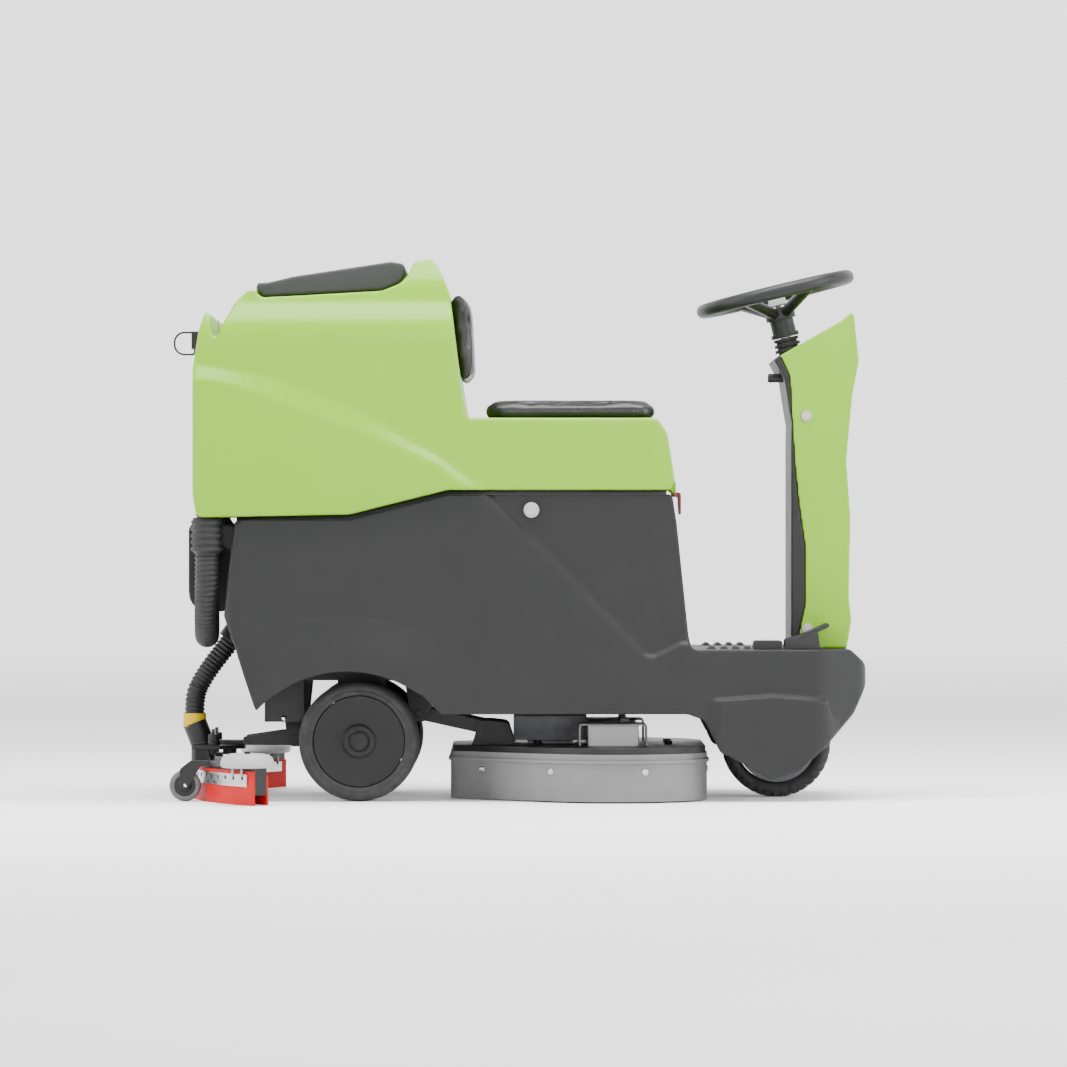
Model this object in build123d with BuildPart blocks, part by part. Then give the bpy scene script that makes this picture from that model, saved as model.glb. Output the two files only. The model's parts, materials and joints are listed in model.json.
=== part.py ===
from build123d import *
import os
from math import asin, atan2, cos, degrees, hypot, pi, radians, sin, tan

# Ride-on floor scrubber-dryer in millimetres. +X is forward, +Y is the machine's left and +Z is
# up. The origin lies on the floor under the middle of the machine.

# ---- overall ----
body_half = 300          # half width of the lower body
tank_half = 318          # half width of the recovery tank
console_half = 150       # half width of the steering console
body_top = 552           # rim of the lower body behind the seat
tank_bed = 602           # rim of the lower body under the seat
body_hem = 172           # lower edge of the side walls
foot_top = 298           # footplate
wall = 8                 # moulded walls of the lower body and the tank
thin_wall = 5            # moulded walls of the console
rim_gap = 8              # gap between lower body and tank

# ---- wheels ----
rear_wheel_x = -310
rear_wheel_r = 118
rear_wheel_width = 80
rear_wheel_inset = 38    # outer face of a rear wheel, inside the body side
axle_r = 12.5
drive_x = 516
drive_r = 108
drive_width = 78
drive_stub_r = 15

# ---- fits ----
run_fit = 0.25           # radial clearance of a turning joint
side_fit = 1.5           # side clearance of a turning joint
skin_gap = 0.5           # gap between pieces that pass each other

# ---- frame ----
rail_y = 130
rail_width = 40
rail_wall = 4
rail_bottom = 235
rail_height = 40
rail_rear = -500
rail_front = 600
arm_pivot = (-193, 169)  # lift arm pin in side view
arm_pin_r = 8
arm_y = 95
arm_thick = 12
deck_pin = (-62, 140)    # pin between lift arms and deck
hitch_pivot = (-440, 118)  # squeegee arm pin in side view
hanger_x = (-499, -421)  # rear hanger box
hanger_z = (153, 177)
tie_eye = (-460, 161)    # tie-down eye in side view
tie_eye_r = 5.5
tie_plate = 8

rail_top = rail_bottom + rail_height
floor_top = rail_top + wall + 5


def outline(corners, inset=0):
    """Fill the closed outline through (u, v, corner radius) points, drawn in by inset."""
    with BuildLine() as border:
        FilletPolyline(
            *[(u, v) for u, v, r in corners],
            radius=[r for u, v, r in corners],
            close=True,
        )
    make_face(border.edges())
    if inset:
        offset(amount=-inset, mode=Mode.REPLACE)


def side_slab(corners, half_width, centre_y=0, mode=Mode.ADD, inset=0):
    """Extrude a side view outline (X, Z) to both sides of centre_y."""
    with BuildSketch(Plane.XZ.offset(-centre_y)) as section:
        outline(corners, inset)
    extrude(section.sketch, amount=half_width, both=True, mode=mode)


def plan_slab(corners, bottom, top, mode=Mode.ADD, inset=0):
    """Extrude a plan outline (X, Y) from bottom to top."""
    with BuildSketch(Plane.XY.offset(bottom)) as section:
        outline(corners, inset)
    extrude(section.sketch, amount=top - bottom, mode=mode)


def block(x_range, y_range, z_range, mode=Mode.ADD):
    """Box between two limits on each axis."""
    spans = (x_range, y_range, z_range)
    with Locations(tuple(sum(span) / 2 for span in spans)):
        Box(*[span[1] - span[0] for span in spans], mode=mode)


def rod(start, end, radius, mode=Mode.ADD):
    """Cylinder from one point to another."""
    way = Vector(*end) - Vector(*start)
    with Locations(Plane(origin=start, z_dir=way)):
        Cylinder(radius, way.length, align=(Align.CENTER, Align.CENTER, Align.MIN), mode=mode)


def cross_rod(centre, y_range, radius, mode=Mode.ADD):
    """Cylinder along Y through an (X, Z) centre."""
    rod((centre[0], y_range[0], centre[1]), (centre[0], y_range[1], centre[1]), radius, mode)


def post(centre, z_range, radius, mode=Mode.ADD):
    """Upright cylinder at an (X, Y) centre."""
    rod((*centre, z_range[0]), (*centre, z_range[1]), radius, mode)


def handed(y_range, side):
    """A left-hand Y range, or its mirror image where side is -1."""
    return y_range if side > 0 else (-y_range[1], -y_range[0])


def finish(part, name):
    """Label a finished sub-part and write it."""
    part.label = name
    export_step(part, f"parts/{name}.step")


def bend_radii(route):
    """Tangent arc radius at each inner point: 0.45 of the shorter run over tan(half turn)."""
    radii = []
    for before, here, after in zip(route, route[1:], route[2:]):
        run_in = Vector(*here) - Vector(*before)
        run_out = Vector(*after) - Vector(*here)
        half_turn = radians(run_in.get_angle(run_out) / 2)
        radii.append(0.45 * min(run_in.length, run_out.length) / tan(half_turn))
    return radii


def tube_along(route, radius, name):
    """Plain tube along straight runs joined by tangent arcs."""
    radii = bend_radii(route)
    with BuildLine() as path:
        FilletPolyline(*route, radius=radii)
    start = Vector(*route[0])
    with BuildSketch(Plane(origin=start, z_dir=Vector(*route[1]) - start)) as section:
        Circle(radius)
    sweep(section.sketch, path=path.wires()[0])
    length = path.wires()[0].length
    print(name, "radii", [round(r) for r in radii], "length", round(length),
          "section times length", round(pi * radius ** 2 * length))


os.makedirs("parts", exist_ok=True)

# ---- chassis frame ----
rail_in = rail_y - rail_width / 2
rail_out = rail_y + rail_width / 2
wheel_face = body_half - rear_wheel_inset
wheel_inner = wheel_face - rear_wheel_width
axle_plate = (rail_out - 8, rail_out)
pivot_plates = (arm_y + arm_thick / 2 + side_fit, rail_out - 20)
hitch_plates = (72, 82)
head_plate = (rail_bottom + 22, rail_bottom + 34)
kingpin_r = 20
shaft_r = 10
lower_shaft_x = 622
cross_members = (-480, -193, 60, 330)

with BuildPart() as chassis_frame:
    for side in (-1, 1):
        with BuildSketch(Plane.YZ.offset(rail_rear)) as rail:
            with Locations((side * rail_y, (rail_bottom + rail_top) / 2)):
                Rectangle(rail_width, rail_height)
                Rectangle(
                    rail_width - 2 * rail_wall, rail_height - 2 * rail_wall, mode=Mode.SUBTRACT
                )
        extrude(rail.sketch, amount=rail_front - rail_rear)
    for x in cross_members:
        block((x - 20, x + 20), (-rail_in, rail_in), (rail_bottom, rail_top))
    block((hitch_pivot[0] - 30, hitch_pivot[0] + 30), (-rail_in, rail_in), (rail_bottom, rail_top))
    # head plate that carries the drive fork and the lower steering shaft
    block((430, 645), (-rail_in, rail_in), head_plate)
    post((drive_x, 0), head_plate, kingpin_r + run_fit, Mode.SUBTRACT)
    post((lower_shaft_x, 0), head_plate, shaft_r + run_fit, Mode.SUBTRACT)
finish(chassis_frame.part, "chassis_frame")

with BuildPart() as frame_brackets:
    # rear hanger box, open below, with a tie-down eye in each side plate
    block(hanger_x, (-rail_out, rail_out), hanger_z)
    block(
        (hanger_x[0] + tie_plate, hanger_x[1] - tie_plate),
        (tie_plate - rail_out, rail_out - tie_plate),
        (hanger_z[0], hanger_z[1] - tie_plate),
        Mode.SUBTRACT,
    )
    for side in (-1, 1):
        block(hanger_x, handed((rail_out - tie_plate, rail_out), side), (hanger_z[1], rail_bottom))
    cross_rod(tie_eye, (-rail_out - 1, rail_out + 1), tie_eye_r, Mode.SUBTRACT)
    # axle plates
    for side in (-1, 1):
        y_plate = handed(axle_plate, side)
        side_slab(
            [
                (rear_wheel_x - 45, rail_bottom, 0),
                (rear_wheel_x + 45, rail_bottom, 0),
                (rear_wheel_x + 24, rear_wheel_r - 24, 18),
                (rear_wheel_x - 24, rear_wheel_r - 24, 18),
            ],
            (y_plate[1] - y_plate[0]) / 2,
            sum(y_plate) / 2,
        )
    cross_rod((rear_wheel_x, rear_wheel_r), (-rail_out - 1, rail_out + 1), axle_r, Mode.SUBTRACT)
    # lift arm pivot plates and squeegee arm pivot plates
    for side in (-1, 1):
        for pivot, plates in ((arm_pivot, pivot_plates), (hitch_pivot, hitch_plates)):
            y_plate = handed(plates, side)
            side_slab(
                [
                    (pivot[0] - 30, rail_bottom, 0),
                    (pivot[0] + 30, rail_bottom, 0),
                    (pivot[0] + 16, pivot[1] - 16, 14),
                    (pivot[0] - 16, pivot[1] - 16, 14),
                ],
                (y_plate[1] - y_plate[0]) / 2,
                sum(y_plate) / 2,
            )
    for pivot, plates in ((arm_pivot, pivot_plates), (hitch_pivot, hitch_plates)):
        cross_rod(pivot, (-plates[1] - 1, plates[1] + 1), arm_pin_r + run_fit, Mode.SUBTRACT)
finish(frame_brackets.part, "frame_brackets")

with BuildPart() as rear_axle:
    cross_rod((rear_wheel_x, rear_wheel_r), (-wheel_face + 6, wheel_face - 6), axle_r)
finish(rear_axle.part, "rear_axle")

# ---- rear wheels ----
wheel_rim_r = 90
wheel_hub_r = 31
for side, name in ((-1, "right"), (1, "left")):
    centre = (rear_wheel_x, rear_wheel_r)
    span = handed((wheel_inner, wheel_face), side)
    with BuildPart() as tyre:
        cross_rod(centre, span, rear_wheel_r)
        fillet(tyre.edges().filter_by(GeomType.CIRCLE), 10)
        cross_rod(centre, span, wheel_rim_r, Mode.SUBTRACT)
    finish(tyre.part, f"rear_tyre_{name}")
    with BuildPart() as rim:
        cross_rod(centre, span, wheel_rim_r)
        cross_rod(centre, handed((wheel_face - 4, wheel_face), side), wheel_rim_r - 6, Mode.SUBTRACT)
        cross_rod(centre, handed((wheel_face - 10, wheel_face - 1), side), wheel_hub_r)
        cross_rod(centre, span, axle_r + run_fit, Mode.SUBTRACT)
    finish(rim.part, f"rear_rim_{name}")

# ---- suction hose route ----
hose_r = 20.5
cuff_top = (-645, 166)
suction_route = [
    (cuff_top[0], 0, cuff_top[1]),
    (-645, 0, 200),
    (-632, 0, 230),
    (-611, 0, 262),
    (-592, 0, 286),
    (-574, 0, 310),
]
elbow_way = (Vector(*suction_route[-1]) - Vector(*suction_route[-2])).normalized()
elbow_start = Vector(*suction_route[-1])
elbow_length = 24
elbow_wall = 6

# ---- lower body ----
arch_centre = (rear_wheel_x - 22, 15)
arch_r = 241
fender_r = 349
fender_ridge_r = 281
fender_out = tank_half - body_half
fender_turns = (-48, 34)  # from upright, rear to front
nose = 688
body_side = [
    (-551, body_top, 8),
    (-334, body_top, 0),
    (-135, tank_bed, 10),
    (303, tank_bed, 8),
    (312, 545, 40),
    (335, foot_top + 27, 0),
    (341, foot_top, 12),
    (655, foot_top, 18),
    (nose, 268, 22),
    (nose, 225, 40),
    (662, 170, 15),
    (611, 114, 20),
    (557, 62, 20),
    (498, 40, 14),
    (440, 75, 20),
    (396, 97, 14),
    (364, 160, 12),
    (331, body_hem, 8),
    (-507, body_hem, 10),
    (-573, 364, 12),
]
under_side = [
    (-562, floor_top - wall, 0),
    (-498, 160, 0),
    (-498, 0, 0),
    (596, 0, 0),
    (596, 108, 0),
    (653, 172, 0),
    (nose - wall, 228, 0),
    (nose - wall, foot_top - 30, 0),
    (650, foot_top - wall, 0),
    (345, foot_top - wall, 0),
    (335, floor_top - wall, 0),
]
bay_side = [
    (-556, floor_top, 0),
    (-542, body_top + 1, 0),
    (-334, body_top + 1, 0),
    (-135, tank_bed + 1, 0),
    (290, tank_bed + 1, 0),
    (300, 545, 0),
    (322, floor_top, 0),
]
wheel_slot = (560, nose + 1)
wheel_slot_half = 160
plan_front_half = body_half - 38
body_plan = [
    (-600, body_half, 60),
    (330, body_half, 60),
    (600, plan_front_half, 90),
    (nose, plan_front_half - 90, 60),
    (nose, 90 - plan_front_half, 60),
    (600, -plan_front_half, 90),
    (330, -body_half, 60),
    (-600, -body_half, 60),
]
rib_x = (378, 401, 424, 447)
rib_y = (165, 245)
hinge_axis = (-611, 570)
hinge_pin_r = 5
hinge_y = (228, 240)

with BuildPart() as body_well:
    plan_slab(body_plan, -1, floor_top + 40, inset=wall)
    side_slab(under_side, body_half, mode=Mode.INTERSECT)

with BuildPart() as lower_body:
    plan_slab(body_plan, 0, tank_bed + 20)
    for side in (-1, 1):
        with BuildSketch(Plane.YZ.offset(arch_centre[0])) as band:
            ys = [side * (body_half - 1), side * (body_half + fender_out)]
            Polygon(
                (ys[0], arch_centre[1] + arch_r),
                (ys[1], arch_centre[1] + arch_r),
                (ys[1], arch_centre[1] + fender_ridge_r),
                (ys[0], arch_centre[1] + fender_r),
                align=None,
            )
        turned = Axis((arch_centre[0], 0, arch_centre[1]), (0, 1, 0))
        revolve(band.sketch.rotate(turned, fender_turns[0]), axis=turned,
                revolution_arc=fender_turns[1] - fender_turns[0])
    side_slab(body_side, tank_half + 1, mode=Mode.INTERSECT)
    add(body_well.part, mode=Mode.SUBTRACT)
    side_slab(bay_side, body_half - wall, mode=Mode.SUBTRACT)
    block(wheel_slot, (-wheel_slot_half, wheel_slot_half), (0, body_hem), Mode.SUBTRACT)
    post((lower_shaft_x, 0), (rail_top, foot_top + 1), shaft_r + 4, Mode.SUBTRACT)
    for side in (-1, 1):
        for x in rib_x:
            block((x, x + 9), handed(rib_y, side), (foot_top - 1, foot_top + 7))
    for side in (-1, 1):
        cross_rod(arch_centre, handed((rail_out, tank_half + 1), side), arch_r, Mode.SUBTRACT)
    rod(elbow_start, elbow_start + elbow_way * elbow_length * 2, hose_r + elbow_wall,
        Mode.SUBTRACT)
finish(lower_body.part, "lower_body")

# ---- service pieces inside the lower body ----
bay_gap = 6
battery = (250, 190, 235)
battery_gap = 6
terminal_r = 9
battery_mid = (-280, 0)
clean_tank_x = (20, 284)
clean_tank_top = tank_bed - 14

with BuildPart() as battery_pack:
    grid_step = (battery[0] + battery_gap, battery[1] + battery_gap)
    with Locations((*battery_mid, floor_top)):
        with GridLocations(*grid_step, 2, 2):
            Box(*battery, align=(Align.CENTER, Align.CENTER, Align.MIN))
    fillet(battery_pack.edges().filter_by(Axis.Z), 6)
    with Locations((*battery_mid, floor_top + battery[2])):
        with GridLocations(*grid_step, 2, 2):
            with Locations((-battery[0] / 2 + 30, 0), (battery[0] / 2 - 30, 0)):
                Cylinder(terminal_r, 14, align=(Align.CENTER, Align.CENTER, Align.MIN))
finish(battery_pack.part, "battery_pack")

with BuildPart() as clean_tank:
    clean_half = body_half - wall - bay_gap
    block(clean_tank_x, (-clean_half, clean_half), (floor_top, clean_tank_top))
    fillet(clean_tank.edges().filter_by(Axis.Z), 25)
    block(
        (clean_tank_x[0] + wall, clean_tank_x[1] - wall),
        (wall - clean_half, clean_half - wall),
        (floor_top + wall, clean_tank_top - wall),
        Mode.SUBTRACT,
    )
finish(clean_tank.part, "clean_tank")

# ---- rear cover, hinge brackets and screws on the lower body ----
rear_cover_y = (48, 208)


def rear_wall_x(z):
    """Rear face of the lower body at a height, above its lowest corner."""
    return -573 + (z - 364) * 22 / (body_top - 364)


with BuildPart() as rear_cover:
    side_slab(
        [
            (-660, 546, 14),
            (-660, 368, 38),
            (-590, 368, 10),
            (rear_wall_x(390), 390, 0),
            (rear_wall_x(540), 540, 0),
            (-570, 546, 0),
        ],
        (rear_cover_y[1] - rear_cover_y[0]) / 2,
        sum(rear_cover_y) / 2,
    )
finish(rear_cover.part, "rear_cover")

with BuildPart() as hinge_brackets:
    for side in (-1, 1):
        y_plate = handed(hinge_y, side)
        side_slab(
            [
                (hinge_axis[0] - 10, hinge_axis[1] + 10, 9),
                (hinge_axis[0] + 10, hinge_axis[1] + 10, 9),
                (-575, body_top - 12, 6),
                (rear_wall_x(body_top - 14), body_top - 14, 0),
                (rear_wall_x(490), 490, 0),
                (-575, 500, 10),
                (hinge_axis[0] - 10, hinge_axis[1] - 24, 9),
            ],
            (y_plate[1] - y_plate[0]) / 2,
            sum(y_plate) / 2,
        )
        cross_rod(hinge_axis, (y_plate[0] - 1, y_plate[1] + 1), hinge_pin_r + run_fit,
                  Mode.SUBTRACT)
finish(hinge_brackets.part, "hinge_brackets")

body_screw_at = (28, 571)
console_screws_at = ((571, 757), (573, 337))
screw_ring_r = 15
console_ring_r = 11
screw_cap = 4


def cover_screw(centre, y_face, side, ring_r):
    """Round washer with a domed cap, standing off a side face."""
    out = side * screw_cap
    plane = Plane(origin=(centre[0], y_face, centre[1]), z_dir=(0, side, 0))
    with Locations(plane):
        Cylinder(ring_r, screw_cap / 2, align=(Align.CENTER, Align.CENTER, Align.MIN))
        Cylinder(ring_r * 0.7, screw_cap, align=(Align.CENTER, Align.CENTER, Align.MIN))


with BuildPart() as cover_screws:
    for side in (-1, 1):
        cover_screw(body_screw_at, side * body_half, side, screw_ring_r)
        for centre in console_screws_at:
            cover_screw(centre, side * console_half, side, console_ring_r)
finish(cover_screws.part, "cover_screws")

# ---- console ----
seam = [
    (520, 877, 0),
    (539, 835, 0),
    (542, 772, 0),
    (548, 670, 0),
    (556, 589, 0),
    (569, 498, 60),
    (569, foot_top + 88, 40),
    (556, foot_top + 28, 12),
    (585, foot_top, 0),
]
cover_front = [
    (651, foot_top, 0),
    (660, foot_top + 55, 20),
    (655, foot_top + 103, 20),
    (658, 558, 0),
    (650, 670, 60),
    (662, 800, 60),
    (675, 865, 30),
    (664, 968, 5),
    (650, 951, 5),
]
panel_rear = [
    (541, foot_top, 0),
    (541, 744, 20),
    (527, 833, 30),
    (507, 867, 0),
    (516, 876, 2),
]
steer_tilt = 13.6
rim_centre = Vector(515, 0, 1003)
steer_plane = Plane(
    origin=rim_centre,
    x_dir=(cos(radians(steer_tilt)), 0, sin(radians(steer_tilt))),
    z_dir=(-sin(radians(steer_tilt)), 0, cos(radians(steer_tilt))),
)
column_gap = 10


def down_column(depth):
    """Point on the steering axis, measured down from the rim plane."""
    return rim_centre - steer_plane.z_dir * depth


joint_depth = (lower_shaft_x - rim_centre.X) / sin(radians(steer_tilt))
joint_ball = down_column(joint_depth)
column_hole_r = shaft_r + column_gap

with BuildPart() as console_core:
    side_slab(seam[:1] + panel_rear[::-1] + cover_front, console_half - thin_wall, inset=thin_wall)

with BuildPart() as console_cover:
    side_slab(seam + cover_front, console_half)
    add(console_core.part, mode=Mode.SUBTRACT)
    rod(down_column(60), down_column(joint_depth), column_hole_r, Mode.SUBTRACT)
    post((lower_shaft_x, 0), (foot_top - 1, foot_top + 20), shaft_r + 4, Mode.SUBTRACT)
finish(console_cover.part, "console_cover")

key_at = (-60, 834)
key_bore_r = 9

with BuildPart() as console_panel:
    side_slab(seam + panel_rear, console_half)
    add(console_core.part, mode=Mode.SUBTRACT)
    rod((480, *key_at), (560, *key_at), key_bore_r, Mode.SUBTRACT)
    # floor flange that closes the console around the lower shaft
    block((548, 640), (thin_wall - console_half, console_half - thin_wall),
          (foot_top + thin_wall, foot_top + 2 * thin_wall))
    post((lower_shaft_x, 0), (foot_top, foot_top + 20), shaft_r + run_fit, Mode.SUBTRACT)
finish(console_panel.part, "console_panel")

with BuildPart() as ignition_key:
    rod((505, *key_at), (548, *key_at), key_bore_r - run_fit)
    block((500, 506), (key_at[0] - 3, key_at[0] + 3), (key_at[1] - 9, key_at[1] + 9))
    rod((498, *key_at), (507, *key_at), key_bore_r - 1)
finish(ignition_key.part, "ignition_key")

# ---- steering ----
hand_rim_r = 147
hand_tube_r = 14
spoke_turns = (62, 118, 242, 298)
spoke_r = 11
boss_r = 30
boss_depth = (28, 52)
collar_r = 24
collar_end = 88
horn_depth = 8
horn_travel = 3
horn_stem_r = 6
shaft_top = 44
bellows_depth = (90, 121)
joint_ball_r = 15
joint_cup_r = 20


def column_ring(depths, radius, mode=Mode.ADD):
    """Cylinder on the steering axis between two depths below the rim plane."""
    rod(down_column(depths[0]), down_column(depths[1]), radius, mode)


with BuildPart() as steering_wheel:
    rim_section = Plane(origin=rim_centre, x_dir=steer_plane.x_dir, z_dir=-steer_plane.y_dir)
    with BuildSketch(rim_section) as tube:
        with Locations((hand_rim_r, 0)):
            Circle(hand_tube_r)
    revolve(tube.sketch, axis=Axis(rim_centre, steer_plane.z_dir))
    for turn in spoke_turns:
        run = Vector(cos(radians(turn)), sin(radians(turn)), 0)
        rod(
            steer_plane.from_local_coords(run * (boss_r - 8) - Vector(0, 0, boss_depth[1] - 12)),
            steer_plane.from_local_coords(run * (hand_rim_r - 4) - Vector(0, 0, 2)),
            spoke_r,
        )
    column_ring(boss_depth, boss_r)
    column_ring((boss_depth[1] - 1, collar_end), collar_r)
    column_ring((collar_end - 8, collar_end), collar_r + 4)
    column_ring((0, shaft_top), horn_stem_r + run_fit, Mode.SUBTRACT)
    column_ring((shaft_top, collar_end + 1), shaft_r, Mode.SUBTRACT)
    column_ring((0, boss_depth[0]), boss_r - 4, Mode.SUBTRACT)
finish(steering_wheel.part, "steering_wheel")

with BuildPart() as horn_button:
    horn_rest = boss_depth[0] - horn_travel - skin_gap
    with Locations(steer_plane.offset(-horn_rest)):
        Box(34, 34, horn_rest - horn_depth, align=(Align.CENTER, Align.CENTER, Align.MIN))
    fillet(horn_button.edges(), 3)
    column_ring((horn_rest - 4, shaft_top - horn_travel - skin_gap), horn_stem_r)
finish(horn_button.part, "horn_button")

with BuildPart() as steering_shaft:
    column_ring((shaft_top, joint_depth), shaft_r)
    with Locations(joint_ball):
        Sphere(joint_ball_r)
finish(steering_shaft.part, "steering_shaft")

with BuildPart() as steering_bellows:
    step = (bellows_depth[1] - bellows_depth[0]) / 3
    for ring in range(3):
        top = bellows_depth[0] + ring * step
        column_ring((top, top + step * 0.6), collar_r + 1 + ring)
        column_ring((top + step * 0.6, top + step), collar_r - 3)
    # the foot reaches down to the sloping top of the console
    column_ring((bellows_depth[1], bellows_depth[1] + 14), collar_r - 1)
    add(console_cover.part, mode=Mode.SUBTRACT)
    column_ring((bellows_depth[0] - 1, bellows_depth[1] + 40), shaft_r + 3, Mode.SUBTRACT)
finish(steering_bellows.part, "steering_bellows")

sprocket_z = (rail_top + 2.5, rail_top + 9.5)
big_sprocket_r = 70
steer_ratio = 0.4
small_sprocket_r = big_sprocket_r * steer_ratio
chain_gap = 0.6
chain_thick = 5

with BuildPart() as lower_shaft:
    post((lower_shaft_x, 0), (rail_bottom + 10, joint_ball.Z - 14), shaft_r)
    post((lower_shaft_x, 0), sprocket_z, small_sprocket_r)
    post((lower_shaft_x, 0), (joint_ball.Z - joint_cup_r - 2, joint_ball.Z + 2), joint_cup_r)
    with Locations(joint_ball):
        Sphere(joint_ball_r + run_fit, mode=Mode.SUBTRACT)
finish(lower_shaft.part, "lower_shaft")

cheek_y = (drive_width / 2 + 4, drive_width / 2 + 14)
crown_z = (2 * drive_r + 6, 2 * drive_r + 16)
fork_centre = (drive_x, drive_r)

with BuildPart() as drive_fork:
    post((drive_x, 0), crown_z, 62)
    post((drive_x, 0), (crown_z[1], head_plate[0] - skin_gap), kingpin_r + 8)
    post((drive_x, 0), (head_plate[0] - skin_gap, sprocket_z[1]), kingpin_r)
    post((drive_x, 0), sprocket_z, big_sprocket_r)
    for side in (-1, 1):
        cheek = handed(cheek_y, side)
        block((drive_x - 24, drive_x + 24), cheek, (drive_r, crown_z[0]))
        cross_rod(fork_centre, cheek, 24)
    cross_rod(fork_centre, (-cheek_y[1], cheek_y[1]), drive_stub_r)
finish(drive_fork.part, "drive_fork")

with BuildPart() as steering_chain:
    with BuildSketch(Plane.XY.offset(sprocket_z[0] + 0.5)) as loop:
        for grow, mode in ((chain_gap + chain_thick, Mode.ADD), (chain_gap, Mode.SUBTRACT)):
            with BuildSketch(mode=Mode.PRIVATE) as run:
                with Locations((drive_x, 0)):
                    Circle(big_sprocket_r + grow)
                with Locations((lower_shaft_x, 0)):
                    Circle(small_sprocket_r + grow)
                make_hull()
            add(run.sketch, mode=mode)
    extrude(amount=sprocket_z[1] - sprocket_z[0] - 1)
finish(steering_chain.part, "steering_chain")

drive_rim_r = 78
with BuildPart() as drive_tyre:
    cross_rod(fork_centre, (-drive_width / 2, drive_width / 2), drive_r)
    fillet(drive_tyre.edges().filter_by(GeomType.CIRCLE), 12)
    cross_rod(fork_centre, (-drive_width / 2, drive_width / 2), drive_rim_r, Mode.SUBTRACT)
finish(drive_tyre.part, "drive_tyre")

with BuildPart() as drive_hub:
    cross_rod(fork_centre, (-drive_width / 2, drive_width / 2), drive_rim_r)
    for side in (-1, 1):
        cross_rod(fork_centre, handed((drive_width / 2 - 6, drive_width / 2), side), 64,
                  Mode.SUBTRACT)
    cross_rod(fork_centre, (-drive_width / 2, drive_width / 2), drive_stub_r + run_fit,
              Mode.SUBTRACT)
finish(drive_hub.part, "drive_hub")

# ---- accelerator pedal ----
pedal_y = (-238, -166)
pedal_pin = (532, foot_top + 12)
pedal_pin_r = 3
pedal_length = 92
pedal_rise = 24.5
pedal_thick = 9
pedal_cheek = 4

with BuildPart() as pedal_base:
    cheek_out = (pedal_y[0] - side_fit - pedal_cheek, pedal_y[1] + side_fit + pedal_cheek)
    block((524, 600), cheek_out, (foot_top, foot_top + 3))
    block((464, 520), cheek_out, (foot_top, foot_top + 17))
    fillet(pedal_base.edges().filter_by(Axis.Y).group_by(Axis.Z)[-1], 5)
    for cheek in (
        (cheek_out[0], cheek_out[0] + pedal_cheek),
        (cheek_out[1] - pedal_cheek, cheek_out[1]),
    ):
        side_slab(
            [
                (524, foot_top, 0),
                (594, foot_top, 0),
                (590, foot_top + 35, 5),
                (pedal_pin[0] - 6, pedal_pin[1] + 8, 6),
            ],
            pedal_cheek / 2,
            sum(cheek) / 2,
        )
    cross_rod(pedal_pin, (cheek_out[0] - 1, cheek_out[1] + 1), pedal_pin_r + run_fit,
              Mode.SUBTRACT)
finish(pedal_base.part, "pedal_base")

with BuildPart() as accelerator_pedal:
    pedal_plane = Plane(
        origin=(pedal_pin[0], 0, pedal_pin[1]),
        x_dir=(cos(radians(pedal_rise)), 0, sin(radians(pedal_rise))),
        z_dir=(0, -1, 0),
    ).offset(-sum(pedal_y) / 2)
    with BuildSketch(pedal_plane) as tread:
        with Locations(((pedal_length - pedal_thick) / 2, 0)):
            SlotOverall(pedal_length, pedal_thick)
    extrude(tread.sketch, amount=(pedal_y[1] - pedal_y[0]) / 2, both=True)
    cross_rod(pedal_pin, cheek_out, pedal_pin_r)
finish(accelerator_pedal.part, "accelerator_pedal")

# ---- brush deck ----
brush_r = 165
brush_at = (190, 172)
brush_clear = 13         # brush to skirt
skirt_wall = 6
skirt_z = (3, 95)
deck_plate_thick = 12
deck_tail = (-132, 141)  # rear edge and half width of the deck's tail
tail_corner = 36
brush_bore_r = 12

skirt_r = brush_r + brush_clear + skirt_wall
deck_plate_top = skirt_z[1] + deck_plate_thick


def deck_plan(inset, bottom, top, mode=Mode.ADD):
    """Deck outline round both brushes and the narrow tail, extruded upwards."""
    with BuildSketch(Plane.XY.offset(bottom)) as plan:
        with BuildSketch(mode=Mode.PRIVATE) as corners:
            with Locations((brush_at[0], brush_at[1]), (brush_at[0], -brush_at[1])):
                Circle(skirt_r - inset)
            tail_x = deck_tail[0] + tail_corner
            tail_y = deck_tail[1] - tail_corner
            with Locations((tail_x, tail_y), (tail_x, -tail_y)):
                Circle(tail_corner - inset)
            make_hull()
        add(corners.sketch)
    extrude(plan.sketch, amount=top - bottom, mode=mode)


with BuildPart() as deck_skirt:
    deck_plan(0, *skirt_z)
    deck_plan(-4, skirt_z[1] - 18, skirt_z[1] - 12)
    deck_plan(skirt_wall, skirt_z[0] - 1, skirt_z[1] + 1, Mode.SUBTRACT)
finish(deck_skirt.part, "deck_skirt")

deck_bracket_y = ((arm_y - arm_thick / 2 - side_fit - 6, arm_y - arm_thick / 2 - side_fit),
                  (arm_y + arm_thick / 2 + side_fit, arm_y + arm_thick / 2 + side_fit + 6))
deck_pin_r = 6

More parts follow.
